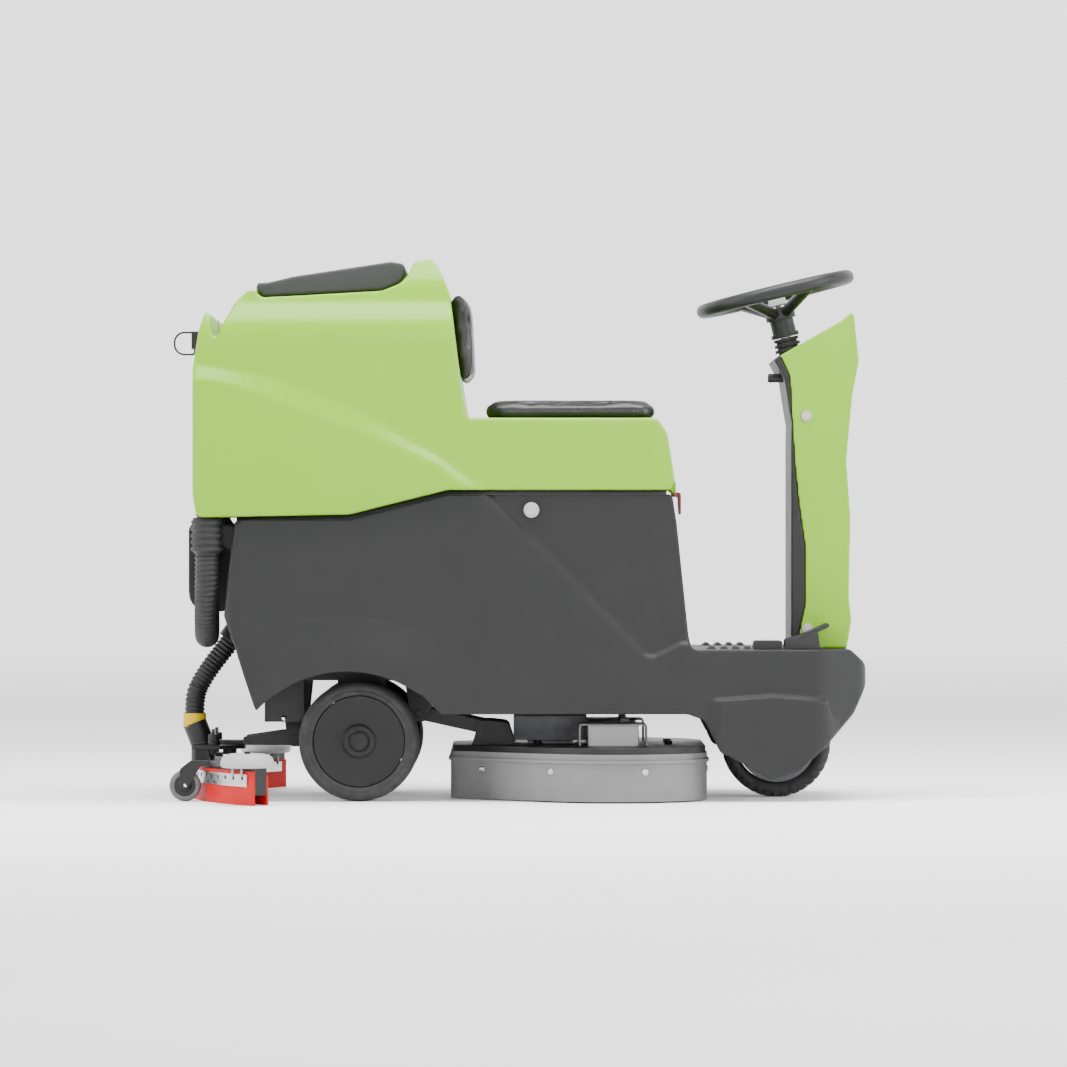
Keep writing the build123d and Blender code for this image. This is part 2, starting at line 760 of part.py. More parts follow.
with BuildPart() as deck_plate:
    deck_plan(3, skirt_z[1], deck_plate_top)
    for side in (-1, 1):
        for plate in deck_bracket_y:
            y_plate = handed(plate, side)
            side_slab(
                [
                    (-90, deck_plate_top, 0),
                    (-4, deck_plate_top, 0),
                    (-18, 150, 12),
                    (deck_pin[0] + 12, deck_pin[1] + 14, 10),
                    (deck_pin[0] - 14, deck_pin[1] + 14, 10),
                ],
                (y_plate[1] - y_plate[0]) / 2,
                sum(y_plate) / 2,
            )
        cross_rod(deck_pin, handed((70, 125), side), deck_pin_r, Mode.SUBTRACT)
        post((brush_at[0], side * brush_at[1]), (skirt_z[1] - 1, deck_plate_top + 1),
             brush_bore_r + 2, Mode.SUBTRACT)
    with Locations(*[(x, y, deck_plate_top) for x in (-60, 40, 300) for y in (-60, 60)]):
        Cylinder(8, 6, align=(Align.CENTER, Align.CENTER, Align.MIN))
finish(deck_plate.part, "deck_plate")

arm_length = hypot(deck_pin[0] - arm_pivot[0], deck_pin[1] - arm_pivot[1])
arm_drop = degrees(atan2(deck_pin[1] - arm_pivot[1], deck_pin[0] - arm_pivot[0]))
arm_depth = 26

with BuildPart() as deck_arms:
    for side in (-1, 1):
        with BuildSketch(Plane.XZ.offset(-side * arm_y)) as bar:
            middle = ((arm_pivot[0] + deck_pin[0]) / 2, (arm_pivot[1] + deck_pin[1]) / 2)
            with Locations(middle):
                SlotCenterToCenter(arm_length, arm_depth, rotation=arm_drop)
        extrude(bar.sketch, amount=arm_thick / 2, both=True)
        cross_rod(deck_pin, handed((deck_bracket_y[0][0], deck_bracket_y[1][1]), side),
                  deck_pin_r - run_fit)
    cross_rod(arm_pivot, (-pivot_plates[1] - 4, pivot_plates[1] + 4), arm_pin_r)
finish(deck_arms.part, "deck_arms")

motor_r = 50
motor_top = deck_plate_top + 30
gearbox = ((-8, 138), (-62, 62), 62)
motor_stub = (62, 122)

with BuildPart() as brush_motors:
    for side in (-1, 1):
        post((brush_at[0], side * brush_at[1]), (deck_plate_top, motor_top), motor_r)
        post((brush_at[0], side * brush_at[1]), (motor_stub[0], motor_stub[1]), brush_bore_r)
    block(gearbox[0], gearbox[1], (deck_plate_top + 7, deck_plate_top + gearbox[2]))
    fillet(brush_motors.edges().group_by(Axis.Z)[-1], 8)
    block((20, 110), (-50, 50), (deck_plate_top, deck_plate_top + 7))
finish(brush_motors.part, "brush_motors")

cover_x = (121, 256)
cover_half = 66
cover_top = deck_plate_top + 45
cover_wall = 4

with BuildPart() as motor_covers:
    for side in (-1, 1):
        y_mid = side * brush_at[1]
        block(cover_x, (y_mid - cover_half, y_mid + cover_half), (deck_plate_top, cover_top))
    fillet(motor_covers.edges().filter_by(Axis.Z), 30)
    fillet(motor_covers.edges().group_by(Axis.Z)[-1], 8)
    for side in (-1, 1):
        y_mid = side * brush_at[1]
        block(
            (cover_x[0] + cover_wall, cover_x[1] - cover_wall),
            (y_mid - cover_half + cover_wall, y_mid + cover_half - cover_wall),
            (deck_plate_top - 1, cover_top - cover_wall),
            Mode.SUBTRACT,
        )
        post((cover_x[1] - 45, y_mid - side * 10), (cover_top, cover_top + 9), 8)
finish(motor_covers.part, "motor_covers")

for side, name in ((-1, "right"), (1, "left")):
    centre = (brush_at[0], side * brush_at[1])
    with BuildPart() as brush:
        post(centre, (0, 44), brush_r)
        chamfer(brush.edges().group_by(Axis.Z)[-1], 6)
        post(centre, (44, 56), brush_r - 12)
        post(centre, (56, 84), 36)
        post(centre, (-1, 36), 60, Mode.SUBTRACT)
        post(centre, (35, 85), brush_bore_r + run_fit, Mode.SUBTRACT)
    finish(brush.part, f"brush_{name}")

# ---- squeegee ----
squeegee_r = 826         # rear face of the clamp in plan
squeegee_rear = -650     # rearmost point of the squeegee
squeegee_half = 460
blade_thick = 4
clamp_thick = 3
channel_depth = 40       # front to back over both blades and clamps
channel_top = 72
lift_plate_z = (96, 104)
swivel_x = -575
nozzle_x = -628
nozzle_r = 24
nozzle_wall = 4
nozzle_top = (cuff_top[0], 147)
caster_r = 31
caster_at = (-651, 235)
caster_width = 24
roller_r = 52
roller_at = (-521, 420)
roller_z = (72, 100)
knob_at = (-604, 62)

arc_centre_x = squeegee_rear + squeegee_r
arc_half = degrees(asin(squeegee_half / squeegee_r))


def arc_band(radii, z_range, half_angle=arc_half, mode=Mode.ADD):
    """Band of the squeegee's curve between two radii, over a height."""
    with BuildSketch(Plane.XZ) as section:
        with Locations((arc_centre_x - sum(radii) / 2, sum(z_range) / 2)):
            Rectangle(radii[1] - radii[0], z_range[1] - z_range[0])
    turn_axis = Axis((arc_centre_x, 0, 0), (0, 0, 1))
    revolve(section.sketch.rotate(turn_axis, -half_angle), axis=turn_axis,
            revolution_arc=2 * half_angle, mode=mode)


rear_clamp = (squeegee_r - clamp_thick, squeegee_r)
rear_blade = (rear_clamp[0] - blade_thick, rear_clamp[0])
front_clamp = (squeegee_r - channel_depth, squeegee_r - channel_depth + clamp_thick)
front_blade = (front_clamp[1], front_clamp[1] + blade_thick)
channel = (front_blade[1], rear_blade[0])

with BuildPart() as squeegee_blades:
    arc_band(rear_blade, (0, 66))
    arc_band(front_blade, (1, 58))
finish(squeegee_blades.part, "squeegee_blades")

with BuildPart() as blade_clamps:
    arc_band(rear_clamp, (36, 60), arc_half - 1.5)
    arc_band(front_clamp, (34, 54), arc_half - 1.5)
finish(blade_clamps.part, "blade_clamps")

base = (nozzle_x, 0, channel_top + 0.5)
knee = (nozzle_x, 0, lift_plate_z[1])
neck = (nozzle_top[0], 0, nozzle_top[1])

with BuildPart() as nozzle_solid:
    rod(base, knee, nozzle_r)
    with Locations(knee):
        Sphere(nozzle_r)
    rod(knee, neck, nozzle_r)
    post((nozzle_x, 0), (lift_plate_z[1], lift_plate_z[1] + 4), nozzle_r + 3)

with BuildPart() as squeegee_frame:
    arc_band(channel, (20, channel_top))
    arc_band((channel[0] + 5, channel[1] - 5), (19, channel_top - 6), arc_half - 1,
             Mode.SUBTRACT)
    # middle mounting plate on two ribs
    plan_slab(
        [
            (-648, 84, 10),
            (-590, 84, 10),
            (swivel_x + 32, 30, 20),
            (swivel_x + 32, -30, 20),
            (-590, -84, 10),
            (-648, -84, 10),
        ],
        *lift_plate_z,
    )
    for side in (-1, 1):
        block((-640, -612), handed((70, 78), side), (channel_top - 4, lift_plate_z[0]))
        # castor fork behind the channel
        caster_y = side * caster_at[1]
        for out in (-1, 1):
            face = out * (caster_width / 2 + side_fit)
            cheek = (caster_y + min(face, face + out * 4), caster_y + max(face, face + out * 4))
            side_slab(
                [
                    (-600, channel_top + 8, 0),
                    (-600, channel_top - 3, 0),
                    (-622, channel_top - 3, 0),
                    (caster_at[0] + 4, caster_r - 9, 6),
                    (caster_at[0] - 10, caster_r - 6, 6),
                    (caster_at[0] - 10, channel_top - 8, 8),
                    (-640, channel_top + 8, 8),
                ],
                2,
                sum(cheek) / 2,
            )
        fork_half = caster_width / 2 + side_fit + 4
        block((-640, -600), (caster_y - fork_half, caster_y + fork_half),
              (channel_top, channel_top + 8))
        # pins of the bumper rollers
        post((roller_at[0], side * roller_at[1]), (channel_top - 4, roller_z[1] + 4), 6)
        post((roller_at[0], side * roller_at[1]), (channel_top - 4, roller_z[0] - skin_gap), 14)
    rod((nozzle_x, 0, channel_top - 8), (nozzle_x, 0, lift_plate_z[1] + 1),
        nozzle_r - nozzle_wall, Mode.SUBTRACT)
    add(nozzle_solid.part, mode=Mode.SUBTRACT)
    post((swivel_x, 0), (lift_plate_z[0] - 1, lift_plate_z[1] + 1), 8 + run_fit, Mode.SUBTRACT)
    for side in (-1, 1):
        post((knob_at[0], side * knob_at[1]), (lift_plate_z[0] - 1, lift_plate_z[1] + 1),
             5 + run_fit, Mode.SUBTRACT)
        cross_rod((caster_at[0], caster_r), (side * caster_at[1] - 18, side * caster_at[1] + 18),
                  4, Mode.SUBTRACT)
finish(squeegee_frame.part, "squeegee_frame")

cuff_r = 23

with BuildPart() as squeegee_nozzle:
    add(nozzle_solid.part)
    rod(base, knee, nozzle_r - nozzle_wall, Mode.SUBTRACT)
    with Locations(knee):
        Sphere(nozzle_r - nozzle_wall, mode=Mode.SUBTRACT)
    rod(knee, neck, nozzle_r - nozzle_wall, Mode.SUBTRACT)
finish(squeegee_nozzle.part, "squeegee_nozzle")

with BuildPart() as hose_cuff:
    post((cuff_top[0], 0), (nozzle_top[1] - 8, cuff_top[1]), cuff_r)
    post((cuff_top[0], 0), (nozzle_top[1] - 9, cuff_top[1] + 1), hose_r - 4, Mode.SUBTRACT)
    add(nozzle_solid.part, mode=Mode.SUBTRACT)
finish(hose_cuff.part, "hose_cuff")

for side, name in ((-1, "right"), (1, "left")):
    caster_y = side * caster_at[1]
    with BuildPart() as caster:
        cross_rod((caster_at[0], caster_r),
                  (caster_y - caster_width / 2, caster_y + caster_width / 2), caster_r)
        fillet(caster.edges().filter_by(GeomType.CIRCLE), 4)
        cross_rod((caster_at[0], caster_r), (caster_y - 16, caster_y + 16), 4 - run_fit)
    finish(caster.part, f"caster_{name}")
    with BuildPart() as roller:
        centre = (roller_at[0], side * roller_at[1])
        post(centre, roller_z, roller_r)
        fillet(roller.edges(), 6)
        post(centre, (roller_z[0] - 1, roller_z[1] + 1), 6 + run_fit, Mode.SUBTRACT)
    finish(roller.part, f"roller_{name}")
    with BuildPart() as knob:
        centre = (knob_at[0], side * knob_at[1])
        post(centre, (lift_plate_z[0] - 10, lift_plate_z[1] + 10), 5)
        post(centre, (lift_plate_z[1] + skin_gap, lift_plate_z[1] + 22), 11)
        block((centre[0] - 3, centre[0] + 3), (centre[1] - 22, centre[1] + 22),
              (lift_plate_z[1] + 8, lift_plate_z[1] + 32))
        fillet(knob.edges().filter_by(Axis.X), 2)
    finish(knob.part, f"wing_knob_{name}")

hitch_arm_y = (60, 68)
swivel_disc_r = 25
hitch_plate_z = (lift_plate_z[1] + skin_gap, lift_plate_z[1] + 9)

with BuildPart() as squeegee_arm:
    for side in (-1, 1):
        arm = handed(hitch_arm_y, side)
        side_slab(
            [
                (hitch_pivot[0] + 16, hitch_pivot[1] + 14, 13),
                (hitch_pivot[0] - 30, hitch_pivot[1] + 14, 10),
                (-545, hitch_plate_z[1] + 8, 4),
                (-545, hitch_plate_z[0], 0),
                (hitch_pivot[0] - 20, hitch_plate_z[0], 10),
                (hitch_pivot[0] + 16, hitch_pivot[1] - 14, 13),
            ],
            (arm[1] - arm[0]) / 2,
            sum(arm) / 2,
        )
    block((-545, -529), (-hitch_arm_y[1], hitch_arm_y[1]), hitch_plate_z)
    block((swivel_x, -529), (-swivel_disc_r, swivel_disc_r), hitch_plate_z)
    post((swivel_x, 0), hitch_plate_z, swivel_disc_r)
    post((swivel_x, 0), (lift_plate_z[0] - 8, hitch_plate_z[0]), 8)
    post((swivel_x, 0), (lift_plate_z[0] - 12, lift_plate_z[0] - skin_gap), 14)
    cross_rod(hitch_pivot, (-hitch_plates[1] - 4, hitch_plates[1] + 4), arm_pin_r)
finish(squeegee_arm.part, "squeegee_arm")

# ---- suction hose from the nozzle up to the body ----
with BuildPart() as suction_hose:
    tube_along(suction_route, hose_r, "suction hose")
print("suction hose volume", round(suction_hose.part.volume))
finish(suction_hose.part, "suction_hose")

with BuildPart() as hose_elbow:
    rod(elbow_start, elbow_start + elbow_way * elbow_length, hose_r + elbow_wall)
    rod(elbow_start, elbow_start + elbow_way * (elbow_length + 1), hose_r - 4, Mode.SUBTRACT)
finish(hose_elbow.part, "hose_elbow")

# ---- recovery tank ----
lid_seat = [(-500, 987), (-419, 991), (-264, 1000), (-229, 1015), (-212, 1034)]
seat_top = 751
tank_front = 308
back_face = [(-133, 998), (-126, 947), (-118, 879), (-109, 816), (-100, 762)]
hinge_round = 14
tank_side = (
    [
        (hinge_axis[0] - hinge_round, hinge_axis[1] - hinge_round, hinge_round - 1),
        (-633, 600, 0),
        (-633, 850, 20),
        (-622, 921, 12),
        (-610, 957, 5),
        (-600, 955, 5),
        (-592, 888, 6),
        (-575, 935, 20),
        (-552, 976, 30),
        (-526, 1002, 8),
        (-514, 1001, 3),
    ]
    + [(x, z, 0) for x, z in lid_seat]
    + [(-203, 1058, 10), (-165, 1064, 14), (-145, 1028, 20)]
    + [(x, z, 0) for x, z in back_face]
    + [
        (-96, seat_top, 0),
        (274, seat_top, 20),
        (294, 720, 20),
        (tank_front, 628, 10),
        (tank_front - 8, tank_bed + rim_gap, 6),
        (-135, tank_bed + rim_gap, 0),
        (-327, body_top + rim_gap + 2, 0),
    ]
)
tank_front_view = [
    (-tank_half, 540, 0),
    (tank_half, 540, 0),
    (tank_half, 930, 90),
    (tank_half - 60, 1015, 60),
    (tank_half - 110, 1100, 0),
    (110 - tank_half, 1100, 0),
    (60 - tank_half, 1015, 60),
    (-tank_half, 930, 90),
]
tank_room = [
    (-582, 590, 20),
    (-582, 870, 20),
    (-545, 955, 20),
    (-505, 976, 10),
    (-270, 986, 0),
    (-165, 1000, 30),
    (-142, 960, 20),
    (-117, 780, 10),
    (-117, 634, 10),
    (-325, 588, 10),
]
seat_room_x = (-50, 264)
seat_room_half = tank_half - 28
neck_x = (-447, -263)
neck_half = 130
hose_bay_y = (-20, 40)
hose_bay_x = -590
slot_side = 3
pin_reach = 8


def front_slab(corners, x_range, mode=Mode.ADD, inset=0):
    """Extrude a front view outline (Y, Z) along X."""
    with BuildSketch(Plane.YZ.offset(x_range[0])) as section:
        outline(corners, inset)
    extrude(section.sketch, amount=x_range[1] - x_range[0], mode=mode)


with BuildPart() as tank_hollow:
    side_slab(tank_room, tank_half)
    front_slab(tank_front_view, (-700, 400), Mode.INTERSECT, inset=wall)

lid_half = 200
lid_pivot = (-506, 1011)
lid_gap = 4
seal_slack = 0.2
lid_pin_r = 4
lid_lug_y = (150, 162)

latch_pin = (tank_front + 4, tank_bed + 1)
latch_half = 40
latch_pin_r = 3
latch_lug = (latch_half + side_fit, latch_half + side_fit + 6)

with BuildPart() as recovery_tank:
    side_slab(tank_side, tank_half)
    front_slab(tank_front_view, (-700, 400), Mode.INTERSECT)
    add(tank_hollow.part, mode=Mode.SUBTRACT)
    block(neck_x, (-neck_half, neck_half), (970, 1060), Mode.SUBTRACT)
    block(seat_room_x, (-seat_room_half, seat_room_half), (tank_bed, seat_top - 13),
          Mode.SUBTRACT)
    block((-700, hose_bay_x), hose_bay_y, (540, 1000), Mode.SUBTRACT)
    for side in (-1, 1):
        slot = handed((hinge_y[0] - slot_side, hinge_y[1] + slot_side), side)
        block((-650, hinge_axis[0] + 30), slot, (540, hinge_axis[1] + 20), Mode.SUBTRACT)
        cross_rod(hinge_axis, (slot[0] - pin_reach, slot[1] + pin_reach), hinge_pin_r,
                  Mode.SUBTRACT)
        lug = handed(lid_lug_y, side)
        side_slab(
            [
                (lid_pivot[0] - 8, lid_pivot[1] + 7, 7),
                (lid_pivot[0] + 8, lid_pivot[1] + 7, 7),
                (lid_pivot[0] + 8, lid_pivot[1] - 26, 0),
                (lid_pivot[0] - 10, lid_pivot[1] - 26, 0),
            ],
            (lug[1] - lug[0]) / 2,
            sum(lug) / 2,
        )
        lug = handed(latch_lug, side)
        side_slab(
            [
                (tank_front - 8, tank_bed + 38, 0),
                (latch_pin[0] + 5, tank_bed + 26, 4),
                (latch_pin[0] + 5, latch_pin[1] - 5, 4),
                (latch_pin[0] - 6, latch_pin[1] - 5, 2),
                (latch_pin[0] - 6, tank_bed + rim_gap, 0),
                (tank_front - 8, tank_bed + rim_gap, 0),
            ],
            (lug[1] - lug[0]) / 2,
            sum(lug) / 2,
        )
    cross_rod(latch_pin, (-latch_lug[1] - 1, latch_lug[1] + 1), latch_pin_r + run_fit,
              Mode.SUBTRACT)
    cross_rod(lid_pivot, (-lid_half, lid_half), lid_pin_r + run_fit, Mode.SUBTRACT)
finish(recovery_tank.part, "recovery_tank")

with BuildPart() as hinge_pins:
    for side in (-1, 1):
        cross_rod(
            hinge_axis,
            handed((hinge_y[0] - slot_side - pin_reach, hinge_y[1] + slot_side + pin_reach), side),
            hinge_pin_r,
        )
finish(hinge_pins.part, "hinge_pins")

with BuildPart() as tank_latch:
    side_slab(
        [
            (latch_pin[0] - 4, latch_pin[1] + 4, 3),
            (latch_pin[0] + 14, latch_pin[1] + 4, 6),
            (latch_pin[0] + 14, latch_pin[1] - 40, 2),
            (latch_pin[0] + 10, latch_pin[1] - 40, 2),
            (latch_pin[0] + 8, latch_pin[1] - 5, 3),
            (latch_pin[0] - 4, latch_pin[1] - 5, 3),
        ],
        latch_half,
    )
    cross_rod(latch_pin, (-latch_lug[1], latch_lug[1]), latch_pin_r)
finish(tank_latch.part, "tank_latch")

motor_at = (120, 0)
with BuildPart() as vacuum_motor:
    post(motor_at, (seat_top - 95, seat_top - 13), 68)
    post(motor_at, (seat_top - 19, seat_top - 13), 84)
    post(motor_at, (seat_top - 118, seat_top - 95), 40)
finish(vacuum_motor.part, "vacuum_motor")

# ---- cushions ----
seat_half = 205
seat_thick = 31
back_half = 190

with BuildPart() as seat_cushion:
    block((-74, 284), (-seat_half, seat_half), (seat_top, seat_top + seat_thick))
    fillet(seat_cushion.edges().filter_by(Axis.Z), 45)
    fillet(seat_cushion.edges().group_by(Axis.Z)[-1], 14)
finish(seat_cushion.part, "seat_cushion")

with BuildPart() as backrest_cushion:
    side_slab(
        [
            (-132, 1000, 4),
            (-112, 1001, 10),
            (-98, 970, 12),
            (-89, 830, 12),
            (-97, 819, 6),
            (-108.5, 819, 0),
            (-117.3, 879, 0),
            (-125.3, 947, 0),
        ],
        back_half,
    )
finish(backrest_cushion.part, "backrest_cushion")

# ---- lid ----
with BuildPart() as tank_lid:
    side_slab(
        [(lid_pivot[0] - 7, lid_pivot[1] - 7, 6.5)]
        + [(x, z + lid_gap, 0) for x, z in lid_seat[:-1]]
        + [
            (-219, 1038, 3),
            (-223, 1056, 8),
            (-249, 1060, 20),
            (-440, 1031, 0),
            (-490, 1019, 4),
            (lid_pivot[0] - 7, lid_pivot[1] + 7, 6.5),
        ],
        lid_half,
    )
    for side in (-1, 1):
        bay = handed((lid_lug_y[0] - side_fit, lid_lug_y[1] + side_fit), side)
        block((-530, lid_pivot[0] + 16), bay, (980, 1040), Mode.SUBTRACT)
    cross_rod(lid_pivot, (-lid_half, lid_half), lid_pin_r)
finish(tank_lid.part, "tank_lid")

with BuildPart() as lid_seal:
    side_slab(
        [(x, z + skin_gap, 0) for x, z in lid_seat[:3]]
        + [(x, z + lid_gap - seal_slack, 0) for x, z in lid_seat[2::-1]],
        neck_half + 22,
    )
    block((neck_x[0] - 20, neck_x[1] - 1), (-neck_half - 22, neck_half + 22), (970, 1010),
          Mode.INTERSECT)
    block((neck_x[0] - 4, neck_x[1] - 18), (-neck_half - 6, neck_half + 6), (960, 1020),
          Mode.SUBTRACT)
finish(lid_seal.part, "lid_seal")

# ---- drain hose ----
drain_r = 24
drain_collar_r = 30
drain_collar_z = (487, hinge_axis[1] - hinge_round)
drain_route = [
    (-606, -280, 487),
    (-606, -280, 438),
    (-608, -259, 382),
    (-610, -212, 337),
    (-613, -147, 321),
    (-615, -82, 330),
    (-618, -27, 366),
    (-620, 4, 424),
    (-621, 12, 492),
    (-620, 11, 600),
    (-620, 10, 742),
    (-620, 10, 880),
]
drain_foot = drain_route[0]
drain_mouth = drain_route[-1]
clip_z = (842, 860)
cap_r = 26
ring_wire_r = 2

with BuildPart() as drain_hose:
    tube_along(drain_route, drain_r, "drain hose")
print("drain hose volume", round(drain_hose.part.volume))
finish(drain_hose.part, "drain_hose")

with BuildPart() as drain_collar:
    post(drain_foot[:2], drain_collar_z, drain_collar_r)
    post(drain_foot[:2], (drain_collar_z[0], drain_collar_z[1] + 1), drain_r - 5, Mode.SUBTRACT)
    for z in (498, 516, 534):
        post(drain_foot[:2], (z, z + 6), drain_collar_r + 1.5)
        post(drain_foot[:2], (z, z + 6), drain_r - 5, Mode.SUBTRACT)
finish(drain_collar.part, "drain_collar")

with BuildPart() as drain_clip:
    post(drain_mouth[:2], clip_z, drain_r + 4.5)
    block((drain_mouth[0], hose_bay_x), (drain_mouth[1] - 14, drain_mouth[1] + 14), clip_z)
    post(drain_mouth[:2], (clip_z[0] - 1, clip_z[1] + 1), drain_r + 0.5, Mode.SUBTRACT)
    block((drain_mouth[0] - 40, drain_mouth[0] - 14), (drain_mouth[1] - 17, drain_mouth[1] + 17),
          (clip_z[0] - 1, clip_z[1] + 1), Mode.SUBTRACT)
finish(drain_clip.part, "drain_clip")

with BuildPart() as drain_cap:
    post(drain_mouth[:2], (drain_mouth[2], drain_mouth[2] + 24), cap_r)
    fillet(drain_cap.edges().group_by(Axis.Z)[-1], 5)
    block((-652, -636), (drain_mouth[1] - 8, drain_mouth[1] + 8), (894, 929))
    ring_plane = Plane.XZ.offset(-drain_mouth[1])
    with BuildLine(ring_plane) as ring_path:
        FilletPolyline(
            (-646, 883), (-686, 883), (-686, 927), (-646, 927),
            radius=[5, 20, 20, 5],
            close=True,
        )
    with BuildSketch(Plane(origin=ring_path.edges()[0] @ 0, z_dir=ring_path.edges()[0] % 0)) as wire:
        Circle(ring_wire_r)
    sweep(wire.sketch, path=ring_path.wires()[0])
finish(drain_cap.part, "drain_cap")
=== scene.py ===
import bmesh
import bpy
import json
import numpy as np
from math import atan2, cos, pi, radians, sin, tan
from mathutils import Matrix, Vector


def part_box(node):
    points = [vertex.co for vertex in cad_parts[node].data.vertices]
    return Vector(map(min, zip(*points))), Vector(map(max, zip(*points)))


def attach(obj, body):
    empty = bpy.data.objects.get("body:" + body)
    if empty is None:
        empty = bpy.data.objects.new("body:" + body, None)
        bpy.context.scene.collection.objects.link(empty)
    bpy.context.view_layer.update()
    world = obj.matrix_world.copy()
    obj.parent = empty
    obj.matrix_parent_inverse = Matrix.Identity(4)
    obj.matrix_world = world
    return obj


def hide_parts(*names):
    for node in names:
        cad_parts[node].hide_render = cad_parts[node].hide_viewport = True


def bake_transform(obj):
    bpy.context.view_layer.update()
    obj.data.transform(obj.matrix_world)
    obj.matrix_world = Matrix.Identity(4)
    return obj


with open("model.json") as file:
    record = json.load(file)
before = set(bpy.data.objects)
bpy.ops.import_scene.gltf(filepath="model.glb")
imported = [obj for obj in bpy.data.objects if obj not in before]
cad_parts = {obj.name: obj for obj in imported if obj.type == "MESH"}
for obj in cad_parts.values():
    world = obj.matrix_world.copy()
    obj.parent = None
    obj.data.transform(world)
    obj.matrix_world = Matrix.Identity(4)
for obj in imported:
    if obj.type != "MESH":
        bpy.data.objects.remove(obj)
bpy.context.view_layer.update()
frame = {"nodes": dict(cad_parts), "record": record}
nodes = frame["nodes"]

# ---------------------------------------------------------------- helpers


def new_object(name, mesh):
    """Link a mesh as an object of the scene."""
    obj = bpy.data.objects.new(name, mesh)
    bpy.context.scene.collection.objects.link(obj)
    return obj


def piece(name, mesh, slot, body, *replaced):
    """Finish a piece: material, smooth faces, the body that it rides on, if one, and the nodes it replaces."""
    mesh.materials.clear()
    mesh.materials.append(materials[slot])
    mesh.shade_smooth()
    obj = new_object(name, mesh)
    if body:
        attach(obj, body)
    if replaced:
        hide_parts(*replaced)
    return obj


def applied(obj):
    """The object's mesh with its modifiers applied, and the object removed."""
    graph = bpy.context.evaluated_depsgraph_get()
    mesh = bpy.data.meshes.new_from_object(obj.evaluated_get(graph))
    bpy.data.objects.remove(obj)
    return mesh


def points_of(mesh):
    """All vertex positions as an array."""
    flat = np.empty(len(mesh.vertices) * 3)
    mesh.vertices.foreach_get("co", flat)
    return flat.reshape(-1, 3)


def set_points(mesh, points):
    """Write all vertex positions back."""
    mesh.vertices.foreach_set("co", points.ravel())
    mesh.update()


def step(values, low, high):
    """Smooth 0 to 1 ramp between two limits."""
    t = np.clip((values - low) / (high - low), 0, 1)
    return t * t * (3 - 2 * t)


def remeshed(node, voxel, passes):
    """A copy of a CAD mesh as an even voxel mesh with edges rounded by smoothing."""
    mesh = nodes[node].data.copy()
    obj = new_object(node + "_work", mesh)
    remesh = obj.modifiers.new("remesh", "REMESH")
    remesh.mode = "VOXEL"
    remesh.voxel_size = voxel
    if passes:
        smooth = obj.modifiers.new("smooth", "SMOOTH")
        smooth.factor = 0.5
        smooth.iterations = passes
    return applied(obj)


def thinned(mesh, share):
    """The mesh with its face count cut to a share."""
    obj = new_object("thin_work", mesh)
    thin = obj.modifiers.new("thin", "DECIMATE")
    thin.ratio = share
    return applied(obj)


def lathe(profile, centre, axis, turns=96):
    """Revolve (radius, along) pairs about an axis through centre."""
    way = Vector(axis).normalized()
    side = way.orthogonal().normalized()
    up = way.cross(side)
    rings = []
    mesh = bmesh.new()
    for r, along in profile:
        if r < 1e-6:
            rings.append([mesh.verts.new(Vector(centre) + way * along)])
            continue
        ring = []
        for i in range(turns):
            a = 2 * pi * i / turns
            ring.append(mesh.verts.new(Vector(centre) + way * along + (side * cos(a) + up * sin(a)) * r))
        rings.append(ring)
    for low, high in zip(rings, rings[1:]):
        for i in range(turns):
            j = (i + 1) % turns
            if len(low) == 1 and len(high) == 1:
                continue
            if len(low) == 1:
                mesh.faces.new((low[0], high[j], high[i]))
            elif len(high) == 1:
                mesh.faces.new((low[i], low[j], high[0]))
            else:
                mesh.faces.new((low[i], low[j], high[j], high[i]))
    bmesh.ops.recalc_face_normals(mesh, faces=mesh.faces)
    data = bpy.data.meshes.new("lathe")
    mesh.to_mesh(data)
    mesh.free()
    return data


def joined(meshes):
    """Several meshes as one."""
    whole = bmesh.new()
    for mesh in meshes:
        whole.from_mesh(mesh)
    data = bpy.data.meshes.new("joined")
    whole.to_mesh(data)
    whole.free()
    return data


def screw_head(centre, axis, r, height):
    """Domed cap screw head with a round recess."""
    dome = lathe(
        [(r, 0), (r, height * 0.45), (r * 0.93, height * 0.8), (r * 0.7, height), (r * 0.45, height),
         (r * 0.42, height * 0.5), (0, height * 0.5)],
        centre, axis, 24,
    )
    return dome


# ---------------------------------------------------------------- materials


def shader(name):
    """A new material with its tree and its main shader."""
    material = bpy.data.materials.new(name)
    material.use_nodes = True
    tree = material.node_tree
    return material, tree, tree.nodes["Principled BSDF"]


def noise(tree, scale, detail=3.0, stretch=(1, 1, 1)):
    """Noise on the object's own coordinates."""
    place = tree.nodes.new("ShaderNodeTexCoord")
    mapping = tree.nodes.new("ShaderNodeMapping")
    mapping.inputs["Scale"].default_value = stretch
    texture = tree.nodes.new("ShaderNodeTexNoise")
    texture.inputs["Scale"].default_value = scale
    texture.inputs["Detail"].default_value = detail
    tree.links.new(place.outputs["Object"], mapping.inputs["Vector"])
    tree.links.new(mapping.outputs["Vector"], texture.inputs["Vector"])
    return texture.outputs["Fac"]


def spread(tree, value, low, high, start=0.3, end=0.7):
    """Map a 0.3 to 0.7 noise onto low to high."""
    ranged = tree.nodes.new("ShaderNodeMapRange")
    ranged.inputs["From Min"].default_value = start
    ranged.inputs["From Max"].default_value = end
    ranged.inputs["To Min"].default_value = low
    ranged.inputs["To Max"].default_value = high
    tree.links.new(value, ranged.inputs["Value"])
    return ranged.outputs["Result"]


